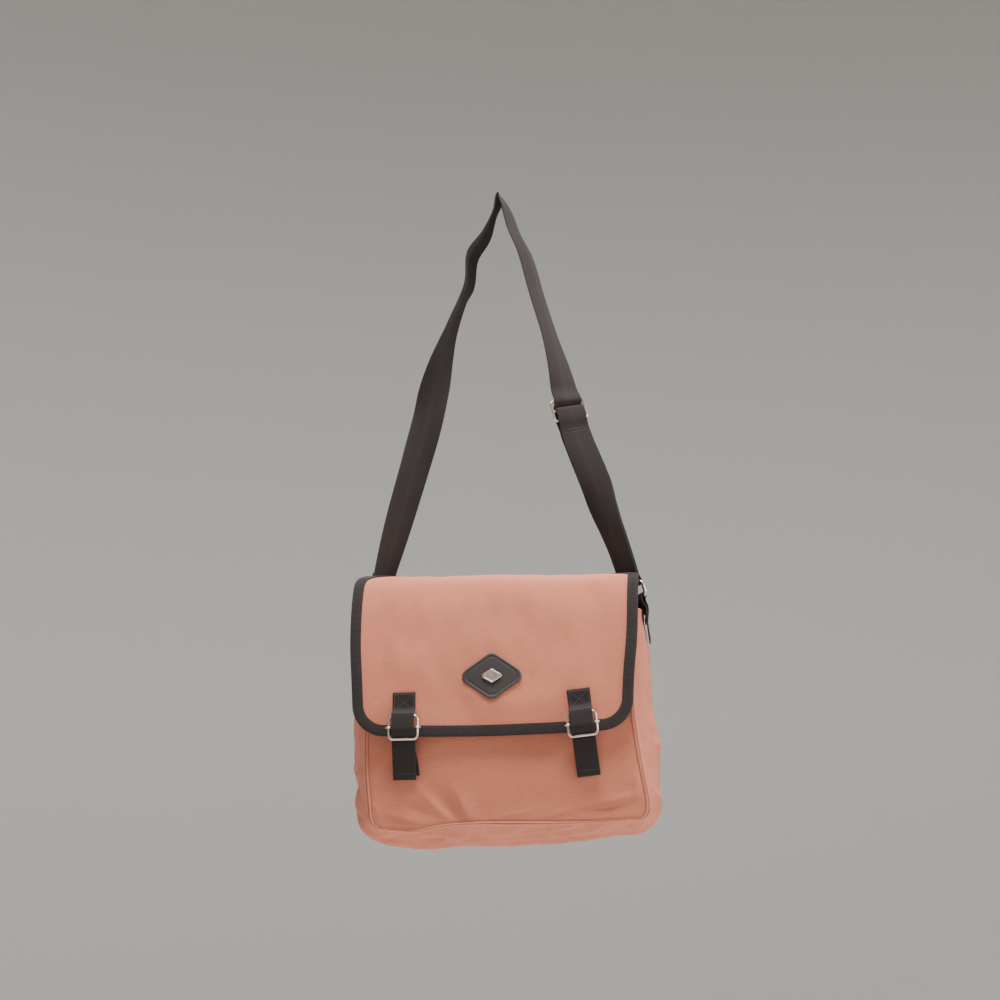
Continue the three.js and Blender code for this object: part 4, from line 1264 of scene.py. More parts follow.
@dataclass
class Body:
    """The bag's front, back and gusset, open at the mouth."""

    crown_drop: float = 0.5035
    height: float = 0.305
    width: float = 0.334
    mouth_depth: float = 0.074
    base_depth: float = 0.110
    mouth_inset: float = 0.046
    base_tilt: float = 0.018
    front_corner: float = 0.012
    back_corner: float = 0.030
    mouth_back: float = 0.008
    panel_bulge: float = 0.006
    side_bulge: float = 0.0215
    base_sag: float = 0.009
    fold_depth: float = 0.005
    seam_inset: float = 0.0038
    hem_width: float = 0.013
    rows: int = 84
    corner_rows: int = 22
    columns: int = 116
    gusset_columns: int = 44
    # Rows and columns of the table of folds round the gusset
    order_rows: int = 12
    order_corner: int = 3
    order_columns: int = 20

    def share_down(self, z: Values) -> Values:
        """Share of the body's height at a height z."""
        return (-self.crown_drop - z) / self.height

    def z_at(self, down: Values) -> Values:
        """Height z at a share of the body's height."""
        return -self.crown_drop - down * self.height

    def edge_x(self, side: Side, down: Values) -> Array:
        """Side seam's place across at a share of the height."""
        return side.sign * read(BODY_SECTIONS, "down", down, side.value) * self.width / 2

    def half_depth(self, down: Values) -> Array:
        """Half the depth at a share of the height."""
        spread = read(BODY_SECTIONS, "down", down, "spread")
        return mix(self.mouth_depth, self.base_depth, spread) / 2

    def swell(self, side: Side, down: Values) -> Array:
        """How far the side wall bulges at a share of the height."""
        return self.side_bulge * read(BODY_SECTIONS, "down", down, f"{side.value}_swell")

    def middle_y(self, down: Values) -> Array:
        """Middle of the body's depth at a share of the height."""
        return self.mouth_back * (1 - read(BODY_SECTIONS, "down", down, "spread"))

    def wall_out(self, which: Wall, x: Array, down: Array) -> Array:
        """Distance of a wall from the middle of the body.

        It is half the depth, plus a belly of two sines, plus the broad folds faded towards
        the seams.

        Args:
            which: the front or the back.
            x: place across.
            down: share of the body's height.

        Returns:
            The distances.
        """
        left, right = self.edge_x(Side.LEFT, down), self.edge_x(Side.RIGHT, down)
        across = np.clip((x - left) / (right - left), 0, 1)
        rise = np.clip((down - 0.25) / 0.78, 0, 1)
        belly = self.panel_bulge * np.sin(math.pi * across) * np.sin(math.pi * rise)
        table = FRONT_FOLDS if which is Wall.FRONT else BACK_FOLDS
        fade = np.sin(math.pi * across) * np.sqrt(np.maximum(np.sin(math.pi * rise), 0))
        broad = self.fold_depth * folds(table, across, down, self.height / self.width)
        return self.half_depth(down) + belly + fade * broad

    def lines(self) -> tuple[Array, Array, Array]:
        """Rows of a panel: share of the straight part, angle in the corner, and order."""
        even = np.linspace(0, 1, self.rows + 1)
        straight = 1 - (1 - even) ** 1.4
        turn = np.linspace(0, 1, self.corner_rows + 1)[1:]
        return (
            np.concatenate([straight, np.ones(self.corner_rows)]),
            np.concatenate([even * 0, turn * math.pi / 2]),
            np.concatenate([even * self.order_rows, self.order_rows + turn * self.order_corner]),
        )

    def surface(self, which: Wall, straight: Array, angle: Array, across: Array) -> Array:
        """Middle surface of a panel, a function of its row and of the place across.

        A row lies at its share of the drop between the mouth and the corner, then follows
        the corner's arc, and a place across mixes the two side seams.

        Args:
            which: the front or the back.
            straight: share of the straight part for each row.
            angle: angle in the corner for each row.
            across: place across, for each row and column or for each column.

        Returns:
            The points by row and column.
        """
        corner = self.front_corner if which is Wall.FRONT else self.back_corner
        straight, angle = straight[:, None], angle[:, None]
        across = np.atleast_2d(across)
        drop = self.height + self.base_tilt * read(BOTTOM_EDGE, "across", across, which.value)
        below = corner * np.sin(angle)
        depth = self.mouth_inset + straight * (drop - self.mouth_inset - corner) + below
        level = self.mouth_inset + straight * (self.height - self.mouth_inset - corner) + below
        inset = corner * (1 - np.cos(angle))
        down = level / self.height
        left, right = self.edge_x(Side.LEFT, down) + inset, self.edge_x(Side.RIGHT, down) - inset
        x = mix(left, right, across)
        y = self.middle_y(down) + which.sign * self.wall_out(which, x, down)
        return laid(x, y, -self.crown_drop - depth)

    def relief(self, which: Wall, points: Array) -> tuple[Array, Array]:
        """Seams, hem, creases and ripples of a panel, where it is rubbed, and where seam shade is painted.

        The seam is a soft ridge at the border with a dip along its topstitching, and
        puckers fade out from it.

        Args:
            which: the front or the back.
            points: the panel's middle surface.

        Returns:
            Heights along the outward normals, and the rubbing from 0 to 1, with painted seam shade below zero.
        """
        x, z = points[..., 0], points[..., 2]
        columns = np.linalg.norm(np.diff(points, axis=0), axis=-1)
        from_top = np.concatenate([x[:1] * 0, np.cumsum(columns, axis=0)])
        to_bottom = from_top[-1:] - from_top
        to_side = np.minimum(x - x[:, :1], x[:, -1:] - x)
        near = np.minimum(to_side, to_bottom)
        ridge, dip = hill(near, 0.0018, 0.0019), hill(near, self.seam_inset, 0.0010)
        height = 0.0009 * ridge - 0.0006 * dip
        height = height + 0.0006 * (1 - smoothstep(from_top, self.hem_width - 0.0008, self.hem_width + 0.0008))
        height = height - 0.0003 * hill(from_top, self.hem_width - 0.002, 0.0008)
        round_edge = np.arctan2(to_bottom, to_side + 1e-6) * 0.03 + x - z
        pucker = np.sin(2 * math.pi * round_edge / 0.0125 + 2.0 * np.sin(round_edge / 0.021))
        height = height + 0.00042 * pucker * np.exp(-near / 0.010) * smoothstep(near, 0.002, 0.006)
        down = -self.crown_drop - z
        if which is Wall.FRONT:
            height = height + 1.7 * folds(FRONT_CREASES, x, down, crisp=True) * smoothstep(near, 0.001, 0.012)
        broad = ripple(x, down, 0.0010, 0.150, 3 if which is Wall.FRONT else 5)
        height = height + broad * smoothstep(near, 0.004, 0.050)
        wear_and_shade = 0.40 * hill(near, 0.0020, 0.0008) + 0.25 * hill(from_top, 0.0, 0.002)
        # Painted shade: below zero along the seam line and the topstitching's dip
        wear_and_shade = wear_and_shade - 0.85 * hill(near, 0.0, 0.0009) - 0.30 * hill(near, self.seam_inset, 0.0008)
        return height, np.clip(wear_and_shade, -1, 1)

    def panel(self, which: Wall, finishes: Finishes) -> Array:
        """Builds a panel and returns its middle surface."""
        straight, angle, _ = self.lines()
        across = dense_at_ends(self.columns, 0.030, 14)
        points = self.surface(which, straight, angle, across)
        outward = grid_normals(points) * -which.sign
        height, wear_and_shade = self.relief(which, points)
        uv = laid(points[..., 0], points[..., 2])
        piece = wall(
            f"{which.value}_panel_cloth", points + outward * height[..., None], outward, GAUGE.canvas, uv, wear_and_shade
        )
        dress(piece, finishes.canvas, "canvas", f"{which.value}_panel")
        return points

    def border(self, points: Array) -> Array:
        """Left seam, bottom seam and right seam of a panel, as one path."""
        return np.concatenate([points[:, 0], points[-1, 1:-1], points[::-1, -1]])

    def gusset(self, front: Array, back: Array, finishes: Finishes) -> None:
        """Builds the side and bottom wall: one strip from the front seam to the back seam.

        Between the seams it arches out by a power of a sine, further at the sides than at
        the base, and carries the broad folds and the creases.
        """
        seam, rear = self.border(front), self.border(back)
        _, _, rows = self.lines()
        last = 2 * (self.order_rows + self.order_corner) + self.order_columns
        bottom = rows[-1] + self.order_columns * dense_at_ends(self.columns, 0.030, 14)[1:-1]
        order = np.concatenate([rows, bottom, last - rows[::-1]]) / last
        run = np.gradient(seam, axis=0)
        outward = unit(laid(run[:, 2], run[:, 1] * 0, -run[:, 0]))
        side = outward[:, 0] ** 2
        down = self.share_down(seam[:, 2])
        swell = np.where(outward[:, 0] < 0, self.swell(Side.LEFT, down), self.swell(Side.RIGHT, down))
        bulge = mix(self.base_sag, swell, side)[:, None]
        across = dense_at_ends(self.gusset_columns - 12, 0.06, 6)[None]
        arch = np.sin(math.pi * across) ** 0.85
        fade = np.sin(math.pi * across)
        broad = self.fold_depth * folds(GUSSET_FOLDS, across, order[:, None])
        lift = bulge * arch + fade * broad - GAUGE.canvas / 2
        points = mix(seam[:, None], rear[:, None], across[..., None]) + outward[:, None] * lift[..., None]
        normals = -grid_normals(points)
        u = path_lengths(seam)[:, None]
        v = across * np.linalg.norm(rear - seam, axis=1)[:, None]
        to_seam = np.minimum(v, v[:, -1:] - v)
        to_mouth = np.minimum(u, u[-1:] - u)
        height = 2.3 * folds(GUSSET_CREASES, u, v, crisp=True) * smoothstep(to_seam, 0.0, 0.010)
        height = height + ripple(u, v, 0.0011, 0.085, 11) * smoothstep(to_seam, 0.0, 0.020)
        height = height + 0.0007 * (1 - smoothstep(to_mouth, self.hem_width - 0.001, self.hem_width + 0.001))
        pucker = np.sin(2 * math.pi * u / 0.0135 + 1.7 * np.sin(u / 0.019))
        height = height + 0.00055 * pucker * np.exp(-to_seam / 0.009) * smoothstep(to_seam, 0.001, 0.005)
        uv = laid(v, u)
        # Rubbed paler on the seam ridges, and painted shade below zero along the seams
        wear_and_shade = 0.35 * hill(to_seam, 0.0026, 0.0012) - 0.8 * hill(to_seam, 0.0, 0.0012)
        wear_and_shade = wear_and_shade + 0.2 * hill(to_mouth, 0.0, 0.002)
        wear_and_shade = np.broadcast_to(wear_and_shade, points.shape[:2])
        piece = wall("gusset_cloth", points + normals * height[..., None], normals, GAUGE.canvas, uv, wear_and_shade)
        dress(piece, finishes.canvas, "canvas", "gusset")

    def topstitching(self, finishes: Finishes) -> None:
        """Sews a row of stitches inside each panel's seam, and one along each mouth hem."""
        for which in Wall:
            corner = self.front_corner if which is Wall.FRONT else self.back_corner
            seam_angle = math.asin(1 - self.seam_inset / corner)
            straight, angle, _ = self.lines()
            keep = angle <= seam_angle
            straight, angle = straight[keep], angle[keep]
            inset = self.seam_inset / self.width
            rows = []
            for across in (inset, 1 - inset):
                grid = self.surface(which, straight, angle, np.array([across - 0.004, across, across + 0.004]))
                rows.append((grid[:, 1], grid_normals(grid)[:, 1]))
            along = np.linspace(inset * 1.4, 1 - inset * 1.4, 300)
            for low, turn in ((1.0, seam_angle), (0.044, 0.0)):
                three = np.array([turn - 0.05, turn, turn + 0.05]) if turn else np.zeros(3)
                level = np.array([low, low, low]) if turn else np.array([low - 0.01, low, low + 0.01])
                grid = self.surface(which, level, three, along)
                rows.append((grid[1], grid_normals(grid)[1]))
            lifted = [
                (points + normals * -which.sign * (GAUGE.canvas / 2 - SUNK), normals * -which.sign)
                for points, normals in rows
            ]
            piece = stitches(f"{which.value}_topstitching", lifted)
            dress(piece, finishes.shaded_canvas_thread, "canvas")

    def build(self, finishes: Finishes) -> None:
        """Builds the panels, the gusset and their stitching."""
        front, back = self.panel(Wall.FRONT, finishes), self.panel(Wall.BACK, finishes)
        self.gusset(front, back, finishes)
        self.topstitching(finishes)


@dataclass
class Flap:
    """The canvas flap, its binding, the leather patch and the bare metal plate."""

    body: Body
    lap_depth: float = 0.028
    corner: float = 0.038
    skew: float = 0.0015
    sag: float = 0.003
    crown_rise: float = 0.005
    crown_share: float = 0.34
    crown_reach: float = 0.12
    binding: float = 0.0115
    patch_width: float = 0.086
    patch_height: float = 0.061
    patch_corner: float = 0.010
    patch_across: float = -0.0105
    patch_drop: float = 0.133
    plate_width: float = 0.029
    plate_height: float = 0.0175
    plate_corner: float = 0.003
    plate_thick: float = 0.0014
    rows: int = 150
    corner_rows: int = 16
    columns: int = 150

    def __post_init__(self) -> None:
        """Lays out the flap's section and its outline on the flat cloth."""
        body = self.body
        lap_top = body.mouth_inset / body.height
        lap_end = (body.mouth_inset + self.lap_depth) / body.height
        out = GAUGE.canvas + 4 * GAUGE.gap + GAUGE.tape
        lap = [
            (0.0, float(body.middle_y(down) + body.half_depth(down)) + out, body.z_at(down))
            for down in (lap_end, lap_top)
        ]
        bends = [(0.0, row.out * body.base_depth / 2, body.z_at(row.down)) for row in FLAP_SECTION]
        self.curve = Curve(np.array(lap + bends))
        self.length = self.curve.length
        self.outline = self.lay_outline()

    def edge(self, side: Side, along: Values) -> Array:
        """Side edge's place across, at a place along the cloth."""
        return side.sign * read(FLAP_SIDES, "along", along / self.length, side.value) * self.body.width / 2

    def lay_outline(self) -> Array:
        """Border on the flat cloth: left side, corner, bottom, corner, right side."""
        ends = {Side.LEFT: self.length, Side.RIGHT: self.length - self.skew}
        sides = {}
        for side in Side:
            straight = ends[side] - self.corner
            along = np.linspace(0, straight, self.rows + 1)
            turn = np.linspace(0, math.pi / 2, self.corner_rows + 1)[1:]
            x = self.edge(side, straight) - side.sign * self.corner * (1 - np.cos(turn))
            sides[side] = np.concatenate([
                laid(self.edge(side, along), along),
                laid(x, straight + self.corner * np.sin(turn)),
            ])
        start, end = sides[Side.LEFT][-1], sides[Side.RIGHT][-1]
        across = np.linspace(0, 1, self.columns + 1)[1:-1]
        bottom = mix(start, end, across[:, None])
        bottom[:, 1] += self.sag * 4 * across * (1 - across)
        return np.concatenate([sides[Side.LEFT], bottom, sides[Side.RIGHT][::-1]])

    def inset(self, distance: Values) -> Array:
        """The outline moved inwards on the flat cloth."""
        run = unit(np.gradient(self.outline, axis=0))
        inward = laid(run[:, 1], -run[:, 0])
        return self.outline + inward * distance

    def point(self, x: Array, along: Array) -> Array:
        """The cloth's middle surface, a function of the place across and along it.

        The section curve carried across the bag, moved along its normal by the broad
        folds, and lifted a little at the crown's left end.

        Args:
            x: place across.
            along: place along the cloth from the lap's end.

        Returns:
            The points.
        """
        x, along = np.broadcast_arrays(x, along)
        share = np.clip(along / self.length, 0, 1)
        order = self.curve.order_at(share)
        here, run = self.curve.point(order), self.curve.tangent(order)
        left, right = self.edge(Side.LEFT, along), self.edge(Side.RIGHT, along)
        across = (x - left) / (right - left)
        lift = self.body.fold_depth * folds(FLAP_FOLDS, across, share, self.length / self.body.width)
        beyond = along - share * self.length
        rise = self.crown_rise * (0.5 - across) * hill(share, self.crown_share, self.crown_reach)
        y = here[..., 1] + run[..., 1] * beyond + run[..., 2] * lift
        z = here[..., 2] + run[..., 2] * beyond - run[..., 1] * lift + rise
        return laid(x, y, z)

    def normal(self, x: Array, along: Array) -> Array:
        """Outward normals of the cloth, from points a millimetre beside each place."""
        step = 0.001
        run = self.point(x, along + step) - self.point(x, along - step)
        side = self.point(x + step, along) - self.point(x - step, along)
        return unit(np.cross(run, side))

    def along_at(self, drop: Values) -> Array:
        """Place along the cloth of a drop below the crown, on the front."""
        share = np.linspace(0.35, 1, 600)
        z = self.curve.point(self.curve.order_at(share))[:, 2]
        return np.interp(drop, -self.body.crown_drop - z, share * self.length)

    def relief(self, x: Array, along: Array) -> Array:
        """Height of the flap's small undulations."""
        near_sides = np.minimum(x - self.edge(Side.LEFT, along), self.edge(Side.RIGHT, along) - x)
        ends = np.minimum(near_sides, self.length - along)
        soft = folds(FLAP_CREASES, x, along, crisp=True) + ripple(x, along, 0.0009, 0.120, 21)
        return soft * smoothstep(ends, self.binding, 0.050) * smoothstep(along, 0.02, 0.06)

    def cloth(self, finishes: Finishes) -> Piece:
        lines = self.rows + self.corner_rows + 1
        left, right = self.outline[:lines], self.outline[::-1][:lines]
        bottom = self.outline[lines - 1:len(self.outline) - lines + 1]
        across = np.linspace(0, 1, self.columns + 1)
        flat = mix(left[:, None], right[:, None], across[None, :, None])
        settle = (np.arange(lines) / (lines - 1))[:, None, None] ** 3
        flat = flat + settle * (bottom[None] - mix(bottom[0], bottom[-1], across[:, None])[None])
        x, along = flat[..., 0], flat[..., 1]
        normals = self.normal(x, along)
        points = self.point(x, along) + normals * self.relief(x, along)[..., None]
        piece = wall("flap_cloth", points, normals, GAUGE.canvas, flat)
        dress(piece, finishes.canvas, "canvas", "flap")
        return piece

    def bind(self, finishes: Finishes) -> None:
        """Builds the folded tape round the border and sews it on.

        Its section is a U with a round fold beyond the cloth's edge and round free edges,
        carried along the outline.
        """
        near = GAUGE.canvas / 2 + GAUGE.gap * 0.6
        thick = GAUGE.tape
        middle = near + thick / 2
        radius = middle
        fold = np.linspace(math.pi / 2, -math.pi / 2, 11)
        flat = np.linspace(self.binding, 0, 9)
        spine = np.concatenate([
            laid(flat, np.full(9, middle)),
            laid(-radius * 0.55 * np.cos(fold[1:-1]), radius * np.sin(fold[1:-1])),
            laid(flat[::-1], np.full(9, -middle)),
        ])
        spine[:9, 1] += 0.00035 * hill(spine[:9, 0], self.binding * 0.45, self.binding * 0.35)
        run = unit(np.gradient(spine, axis=0))
        out = laid(run[:, 1], -run[:, 0])
        rim = np.linspace(0, math.pi, 5)[1:-1]
        ends = [
            spine[k] + sign * run[k] * np.sin(rim)[:, None] * thick / 2 + out[k] * np.cos(rim)[:, None] * thick / 2 * sign
            for k, sign in ((-1, 1), (0, -1))
        ]
        section = np.concatenate([spine + out * thick / 2, ends[0], (spine - out * thick / 2)[::-1], ends[1]])
        inward, lift = section[:, 0], section[:, 1]
        places = np.stack([self.inset(max(value, 0.0)) for value in inward], axis=1)
        x, along = places[..., 0], places[..., 1]
        here, normal = self.point(x, along), self.normal(x, along)
        rim_points = self.point(self.outline[:, 0], self.outline[:, 1])
        within = self.inset(self.binding)
        outward = unit(rim_points - self.point(within[:, 0], within[:, 1]))
        lengths = path_lengths(rim_points)
        crimp = 0.00018 * np.sin(2 * math.pi * lengths / 0.0075 + 1.5 * np.sin(lengths / 0.013))
        spread = (lift + np.sign(lift) * crimp[:, None] * smoothstep(inward, 0.001, 0.004)[None])[..., None]
        rings = here + normal * spread + outward[:, None] * np.maximum(-inward, 0)[None, :, None]
        caps = [(ring + ring[::-1]) / 2 for ring in (rings[0], rings[-1])]
        rings = np.concatenate([caps[:1], rings, caps[1:]])
        along_length = np.concatenate([lengths[:1], lengths, lengths[-1:]])
        uv = laid(inward[None], along_length[:, None])
        rubbed = hill(inward, -radius * 0.5, 0.0014)
        piece = skin("flap_binding_tape", rings, uv, wear_and_shade=np.broadcast_to(rubbed, rings.shape[:2]))
        dress(piece, finishes.tape, "tape", "flap_binding")
        sewn = self.inset(self.binding - 0.0022)
        base, up = self.point(sewn[:, 0], sewn[:, 1]), self.normal(sewn[:, 0], sewn[:, 1])
        height = middle + thick / 2 - SUNK
        rows = [(base + up * height, up), (base - up * height, -up)]
        dress(stitches("binding_stitches", rows, pitch=0.0030), finishes.tape_thread, "tape")

    def lap_stitches(self, finishes: Finishes) -> None:
        """Sews the lap to the back wall with two rows."""
        rows = []
        half = 0.74 * self.body.width / 2 - self.binding
        across = np.linspace(-half, half, 200)
        for along in (0.004, 0.011):
            up = self.normal(across, np.full_like(across, along))
            points = self.point(across, np.full_like(across, along)) + up * (GAUGE.canvas / 2 - SUNK)
            rows.append((points, up))
        dress(stitches("lap_stitches", rows), finishes.shaded_canvas_thread, "canvas")

    def rhombus(self, width: float, height: float, radius: float) -> Array:
        """A rhombus with rounded corners, as evenly spaced points round it.

        Each corner is an arc between the two side directions, and the sides are straight
        between the arcs.
        """
        a, b = width / 2, height / 2
        lean = math.atan2(b, a)
        points = []
        corners = ((a, 0, lean), (0, b, math.pi / 2 - lean), (-a, 0, lean), (0, -b, math.pi / 2 - lean))
        for k, (x, y, half) in enumerate(corners):
            centre = 1 - radius / math.sin(half) / math.hypot(x, y)
            reach = math.pi / 2 - half
            angle = k * math.pi / 2 + np.linspace(-reach, reach, 14)
            points.append(laid(x * centre + radius * np.cos(angle), y * centre + radius * np.sin(angle)))
        loop = np.concatenate(points + [points[0][:1]])
        lengths = path_lengths(loop)
        return resample(lengths, loop, np.linspace(0, lengths[-1], 161)[:-1])

    def inlay(self, name: str, size: tuple[float, float, float], profile: Array, wear_and_shade: Array) -> Piece:
        """Lays a rounded rhombus on the flap, its section given from middle to middle.

        Args:
            name: the piece's name.
            size: width, height and corner radius.
            profile: rows of distance in from the border and height above the cloth.
            wear_and_shade: how rubbed each row is.

        Returns:
            The object.
        """
        shape = self.rhombus(*size)
        width, height, _ = size
        inradius = width * height / 2 / math.hypot(width, height)
        scale = 1 - np.clip(profile[:, 0] / inradius, 0, 1)
        flat = scale[:, None, None] * shape[None]
        x = self.patch_across + flat[..., 0]
        along = self.along_at(self.patch_drop) - flat[..., 1]
        rings = self.point(x, along) + self.normal(x, along) * profile[:, 1][:, None, None]
        return skin(name, rings, flat, wear_and_shade=np.broadcast_to(wear_and_shade[:, None], rings.shape[:2]))

    def patch(self, finishes: Finishes) -> None:
        """Builds the leather patch with its raised border, its stitches and the metal plate."""
        under = GAUGE.canvas / 2 + GAUGE.gap * 0.8
        top = GAUGE.canvas / 2 + GAUGE.gap * 1.5 + GAUGE.leather
        size = (self.patch_width, self.patch_height, self.patch_corner)
        inradius = size[0] * size[1] / 2 / math.hypot(size[0], size[1])
        field = np.linspace(inradius, 0.0054, 12)
        turn = np.linspace(0, math.pi / 2, 6)
        bead = np.array([[0.0046, -0.0002], [0.0041, -0.00035], [0.0036, -0.0002], [0.0030, 0.0002], [0.0022, 0.00035]])
        rows = np.concatenate([
            laid(field, top + 0 * field),
            laid(bead[:, 0], top + bead[:, 1]),
            laid(0.0012 * (1 - np.sin(turn)), top - 0.0012 * (1 - np.cos(turn)) + 0.0002),
            np.array([[0.0, under + 0.0003], [0.0004, under], [inradius * 0.5, under], [inradius, under]]),
        ])
        wear_and_shade = 0.9 * hill(rows[:, 0], 0.0003, 0.0005) + 0.08 * hill(rows[:, 0], 0.0026, 0.0007)
        dress(self.inlay("diamond_patch_leather", size, rows, wear_and_shade), finishes.leather, "leather", "diamond_patch")
        shape = self.rhombus(*size) * (1 - 0.0041 / inradius)
        shape = np.vstack([shape, shape[:1]])
        x, along = self.patch_across + shape[:, 0], self.along_at(self.patch_drop) - shape[:, 1]
        up = self.normal(x, along)
        seam = [(self.point(x, along) + up * (top - 0.00035), up)]
        dress(stitches("patch_stitches", seam, pitch=0.0026, thread=0.0005), finishes.dark_thread, "leather")
        low = top + GAUGE.gap * 0.5
        face = top + GAUGE.gap + self.plate_thick
        size = (self.plate_width, self.plate_height, self.plate_corner)
        inner = size[0] * size[1] / 2 / math.hypot(size[0], size[1])
        rows = np.array([
            [inner, face - 0.00030], [inner * 0.6, face - 0.00030], [0.0019, face - 0.00030], [0.0017, face - 0.00028],
            [0.0014, face - 0.00004], [0.0012, face], [0.0007, face], [0.0004, face - 0.00008], [0.00015, face - 0.0003],
            [0.0, face - 0.0006], [0.0, low + 0.0002], [0.0002, low], [inner * 0.5, low], [inner, low],
        ])
        plate = self.inlay("diamond_plate_metal", size, rows, np.zeros(len(rows)))
        dress(plate, finishes.metal, "metal", "diamond_plate")

    def build(self, finishes: Finishes) -> None:
        """Builds the flap and what is sewn on it."""
        self.cloth(finishes)
        self.bind(finishes)
        self.lap_stitches(finishes)
        self.patch(finishes)


@dataclass
class Closure:
    """One closure: webbing over a buckle, its tab, frame and centre bar."""

    flap: Flap
    side: Side
    across: float
    tilt: float
    shift: float
    width: float = 0.0275
    sewn: float = 0.021
    tail: float = 0.060
    tab_sewn: float = 0.014
    tab_play: float = 0.001
    drop: float = 0.193
    buckle_width: float = 0.037
    buckle_height: float = 0.031
    wire: float = 0.0034
    corner: float = 0.005
    bar: float = 0.0024

    def __post_init__(self) -> None:
        """Works out the closure's directions and the layers' heights."""
        lean = math.radians(self.tilt)
        self.downward = np.array([math.sin(lean), 0.0, -math.cos(lean)])
        self.wide = np.array([math.cos(lean), 0.0, math.sin(lean)])
        self.front = np.array([0.0, -1.0, 0.0])
        self.centre = np.array([self.across, 0.0, -self.flap.body.crown_drop - self.drop])
        gap, web = GAUGE.gap, GAUGE.webbing
        self.layer = web + gap * 1.2
        self.tab_out = gap + GAUGE.tape + gap + web / 2
        self.tail_out = self.tab_out + self.layer
        self.buckle_out = self.tail_out + web / 2 + gap + self.wire / 2
        self.bar_loop = self.bar / 2 + gap + web / 2
        self.strap_over = self.buckle_out + self.bar_loop + self.layer
        self.wire_over = self.buckle_out + self.wire / 2 + gap + web / 2
        self.level = max(self.cloth(0.0), self.cloth(self.buckle_height / 2))

    def spots(self, down: float) -> Array:
        """Five places across the webbing at a distance down."""
        shares = np.array([-1, -0.5, 0, 0.5, 1])[:, None]
        return self.centre + self.downward * down + self.wide * shares * self.width / 2

    def cloth(self, down: float) -> float:
        """How far the flap's face stands out behind the webbing."""
        spots = self.spots(down)
        limit = self.flap.length - self.flap.skew
        along = np.minimum(self.flap.along_at(-self.flap.body.crown_drop - spots[:, 2]), limit)
        return float(np.max(GAUGE.canvas / 2 - self.flap.point(spots[:, 0], along)[:, 1]))

    def panel(self, down: float) -> float:
        """How far the front wall stands out behind the webbing, with the gap."""
        spots, body = self.spots(down), self.flap.body
        share = body.share_down(spots[:, 2])
        out = body.wall_out(Wall.FRONT, spots[:, 0], share) - body.middle_y(share)
        return float(np.max(out)) + GAUGE.canvas / 2 + GAUGE.gap

    def stations(self, route: list[tuple[float, float]], slide: float, dense: int = 7) -> Stations:
        """Places of a webbing that follows a route of distances down and out.

        Args:
            route: distance down and distance out for each place.
            slide: how far its end lies to the side.
            dense: places for each span.

        Returns:
            The places, with their faces square to the run.
        """
        curve = Curve(np.array([(down, out, 0.0) for down, out in route]))
        orders = np.linspace(0, 1, dense * (len(route) - 1) + 1)
        here, run = curve.point(orders), curve.tangent(orders)
        aside = slide * smoothstep(here[:, 0], self.buckle_height / 2 - self.wire / 2, self.tail)
        at = self.centre + self.downward * here[:, :1] + self.front * here[:, 1:2] + self.wide * aside[:, None]
        face = self.front * run[:, :1] - self.downward * run[:, 1:2]
        wide = np.repeat(self.wide[None], len(at), axis=0)
        return Stations(at, run, wide, face, np.zeros(len(at)))

    def turn(self, bar: float, radius: float, start: float, stop: float, steps: int) -> list:
        """Route round a bar, by angle from above it towards the front."""
        angle = np.radians(np.linspace(start, stop, steps + 1))
        down, out = bar - radius * np.cos(angle), self.level + self.buckle_out + radius * np.sin(angle)
        return list(zip(down.tolist(), out.tolist()))

    def strap_stations(self) -> Stations:
        """The webbing: sewn to the flap, over the buckle, under its lower side, then hanging."""
        half = self.buckle_height / 2
        low, level, web = half - self.wire / 2, self.level, GAUGE.webbing
        sewn_out = GAUGE.gap * 1.5 + web / 2
        end = self.panel(self.tail) + GAUGE.gap * 2 + self.layer + web / 2
        over_wire = (self.wire / 2 + GAUGE.gap + web / 2) * 1.12
        top = -half - self.sewn - 0.006
        return self.stations([
            (top, self.cloth(top) + sewn_out),
            (-half - 0.008, self.cloth(-half - 0.008) + sewn_out),
            (-half - 0.004, level + mix(sewn_out, self.wire_over, 0.25)),
            *self.turn(-low, over_wire, 20, 80, 2),
            (-self.bar_loop, level + self.strap_over),
            (self.bar_loop, level + self.strap_over),
            (mix(self.bar_loop, low, 0.5), level + mix(self.buckle_out, self.strap_over, 0.4)),
            *self.turn(low, over_wire, -10, -90, 3),
            (low + 0.005, level + self.tail_out),
            (mix(low, self.tail, 0.5), mix(level + self.tail_out, end, 0.45)),
            (self.tail, end),
        ], 0.0)

    def tab_stations(self) -> Stations:
        """The tab: sewn to the front wall, up behind the tail and round the centre bar."""
        half, level = self.buckle_height / 2, self.level
        low, end = half - self.wire / 2, self.tail - 0.005
        foot = [(down, self.panel(down) + GAUGE.gap + GAUGE.webbing / 2) for down in (end, end - self.tab_sewn)]
        return self.stations([
            *foot,
            (half + 0.005, level + self.tab_out - GAUGE.gap),
            (low - 0.002, level + self.tab_out),
            (self.bar_loop + 0.003, level + mix(self.tab_out, self.tail_out, 0.4)),
            *self.turn(0.0, self.bar_loop * 1.16, -100, 130, 6),
        ], self.shift)

    def sewing(self, strap: Stations) -> list[tuple[Array, Array]]:
        """A boxed cross on the sewn end, and one row across the hem of the tail."""
        lift = GAUGE.webbing / 2 - SUNK
        total = path_lengths(strap.at)[-1]
        margin, box = 0.0026, self.sewn + 0.0005
        low, high = -self.width / 2 + margin, self.width / 2 - margin
        corners = [(margin, low), (margin, high), (box, high), (box, low), (margin, low)]
        lines = list(zip(corners[:-1], corners[1:])) + [(corners[0], corners[2]), (corners[1], corners[3])]
        lines.append(((total - 0.0072, low), (total - 0.0072, high)))
        rows = []
        for (a, x), (b, y) in lines:
            t = np.linspace(0, 1, 12)
            rows.append(strap.place(mix(a, b, t), mix(x, y, t), lift * (1.7 if a > total / 2 else 1.0)))
        return rows

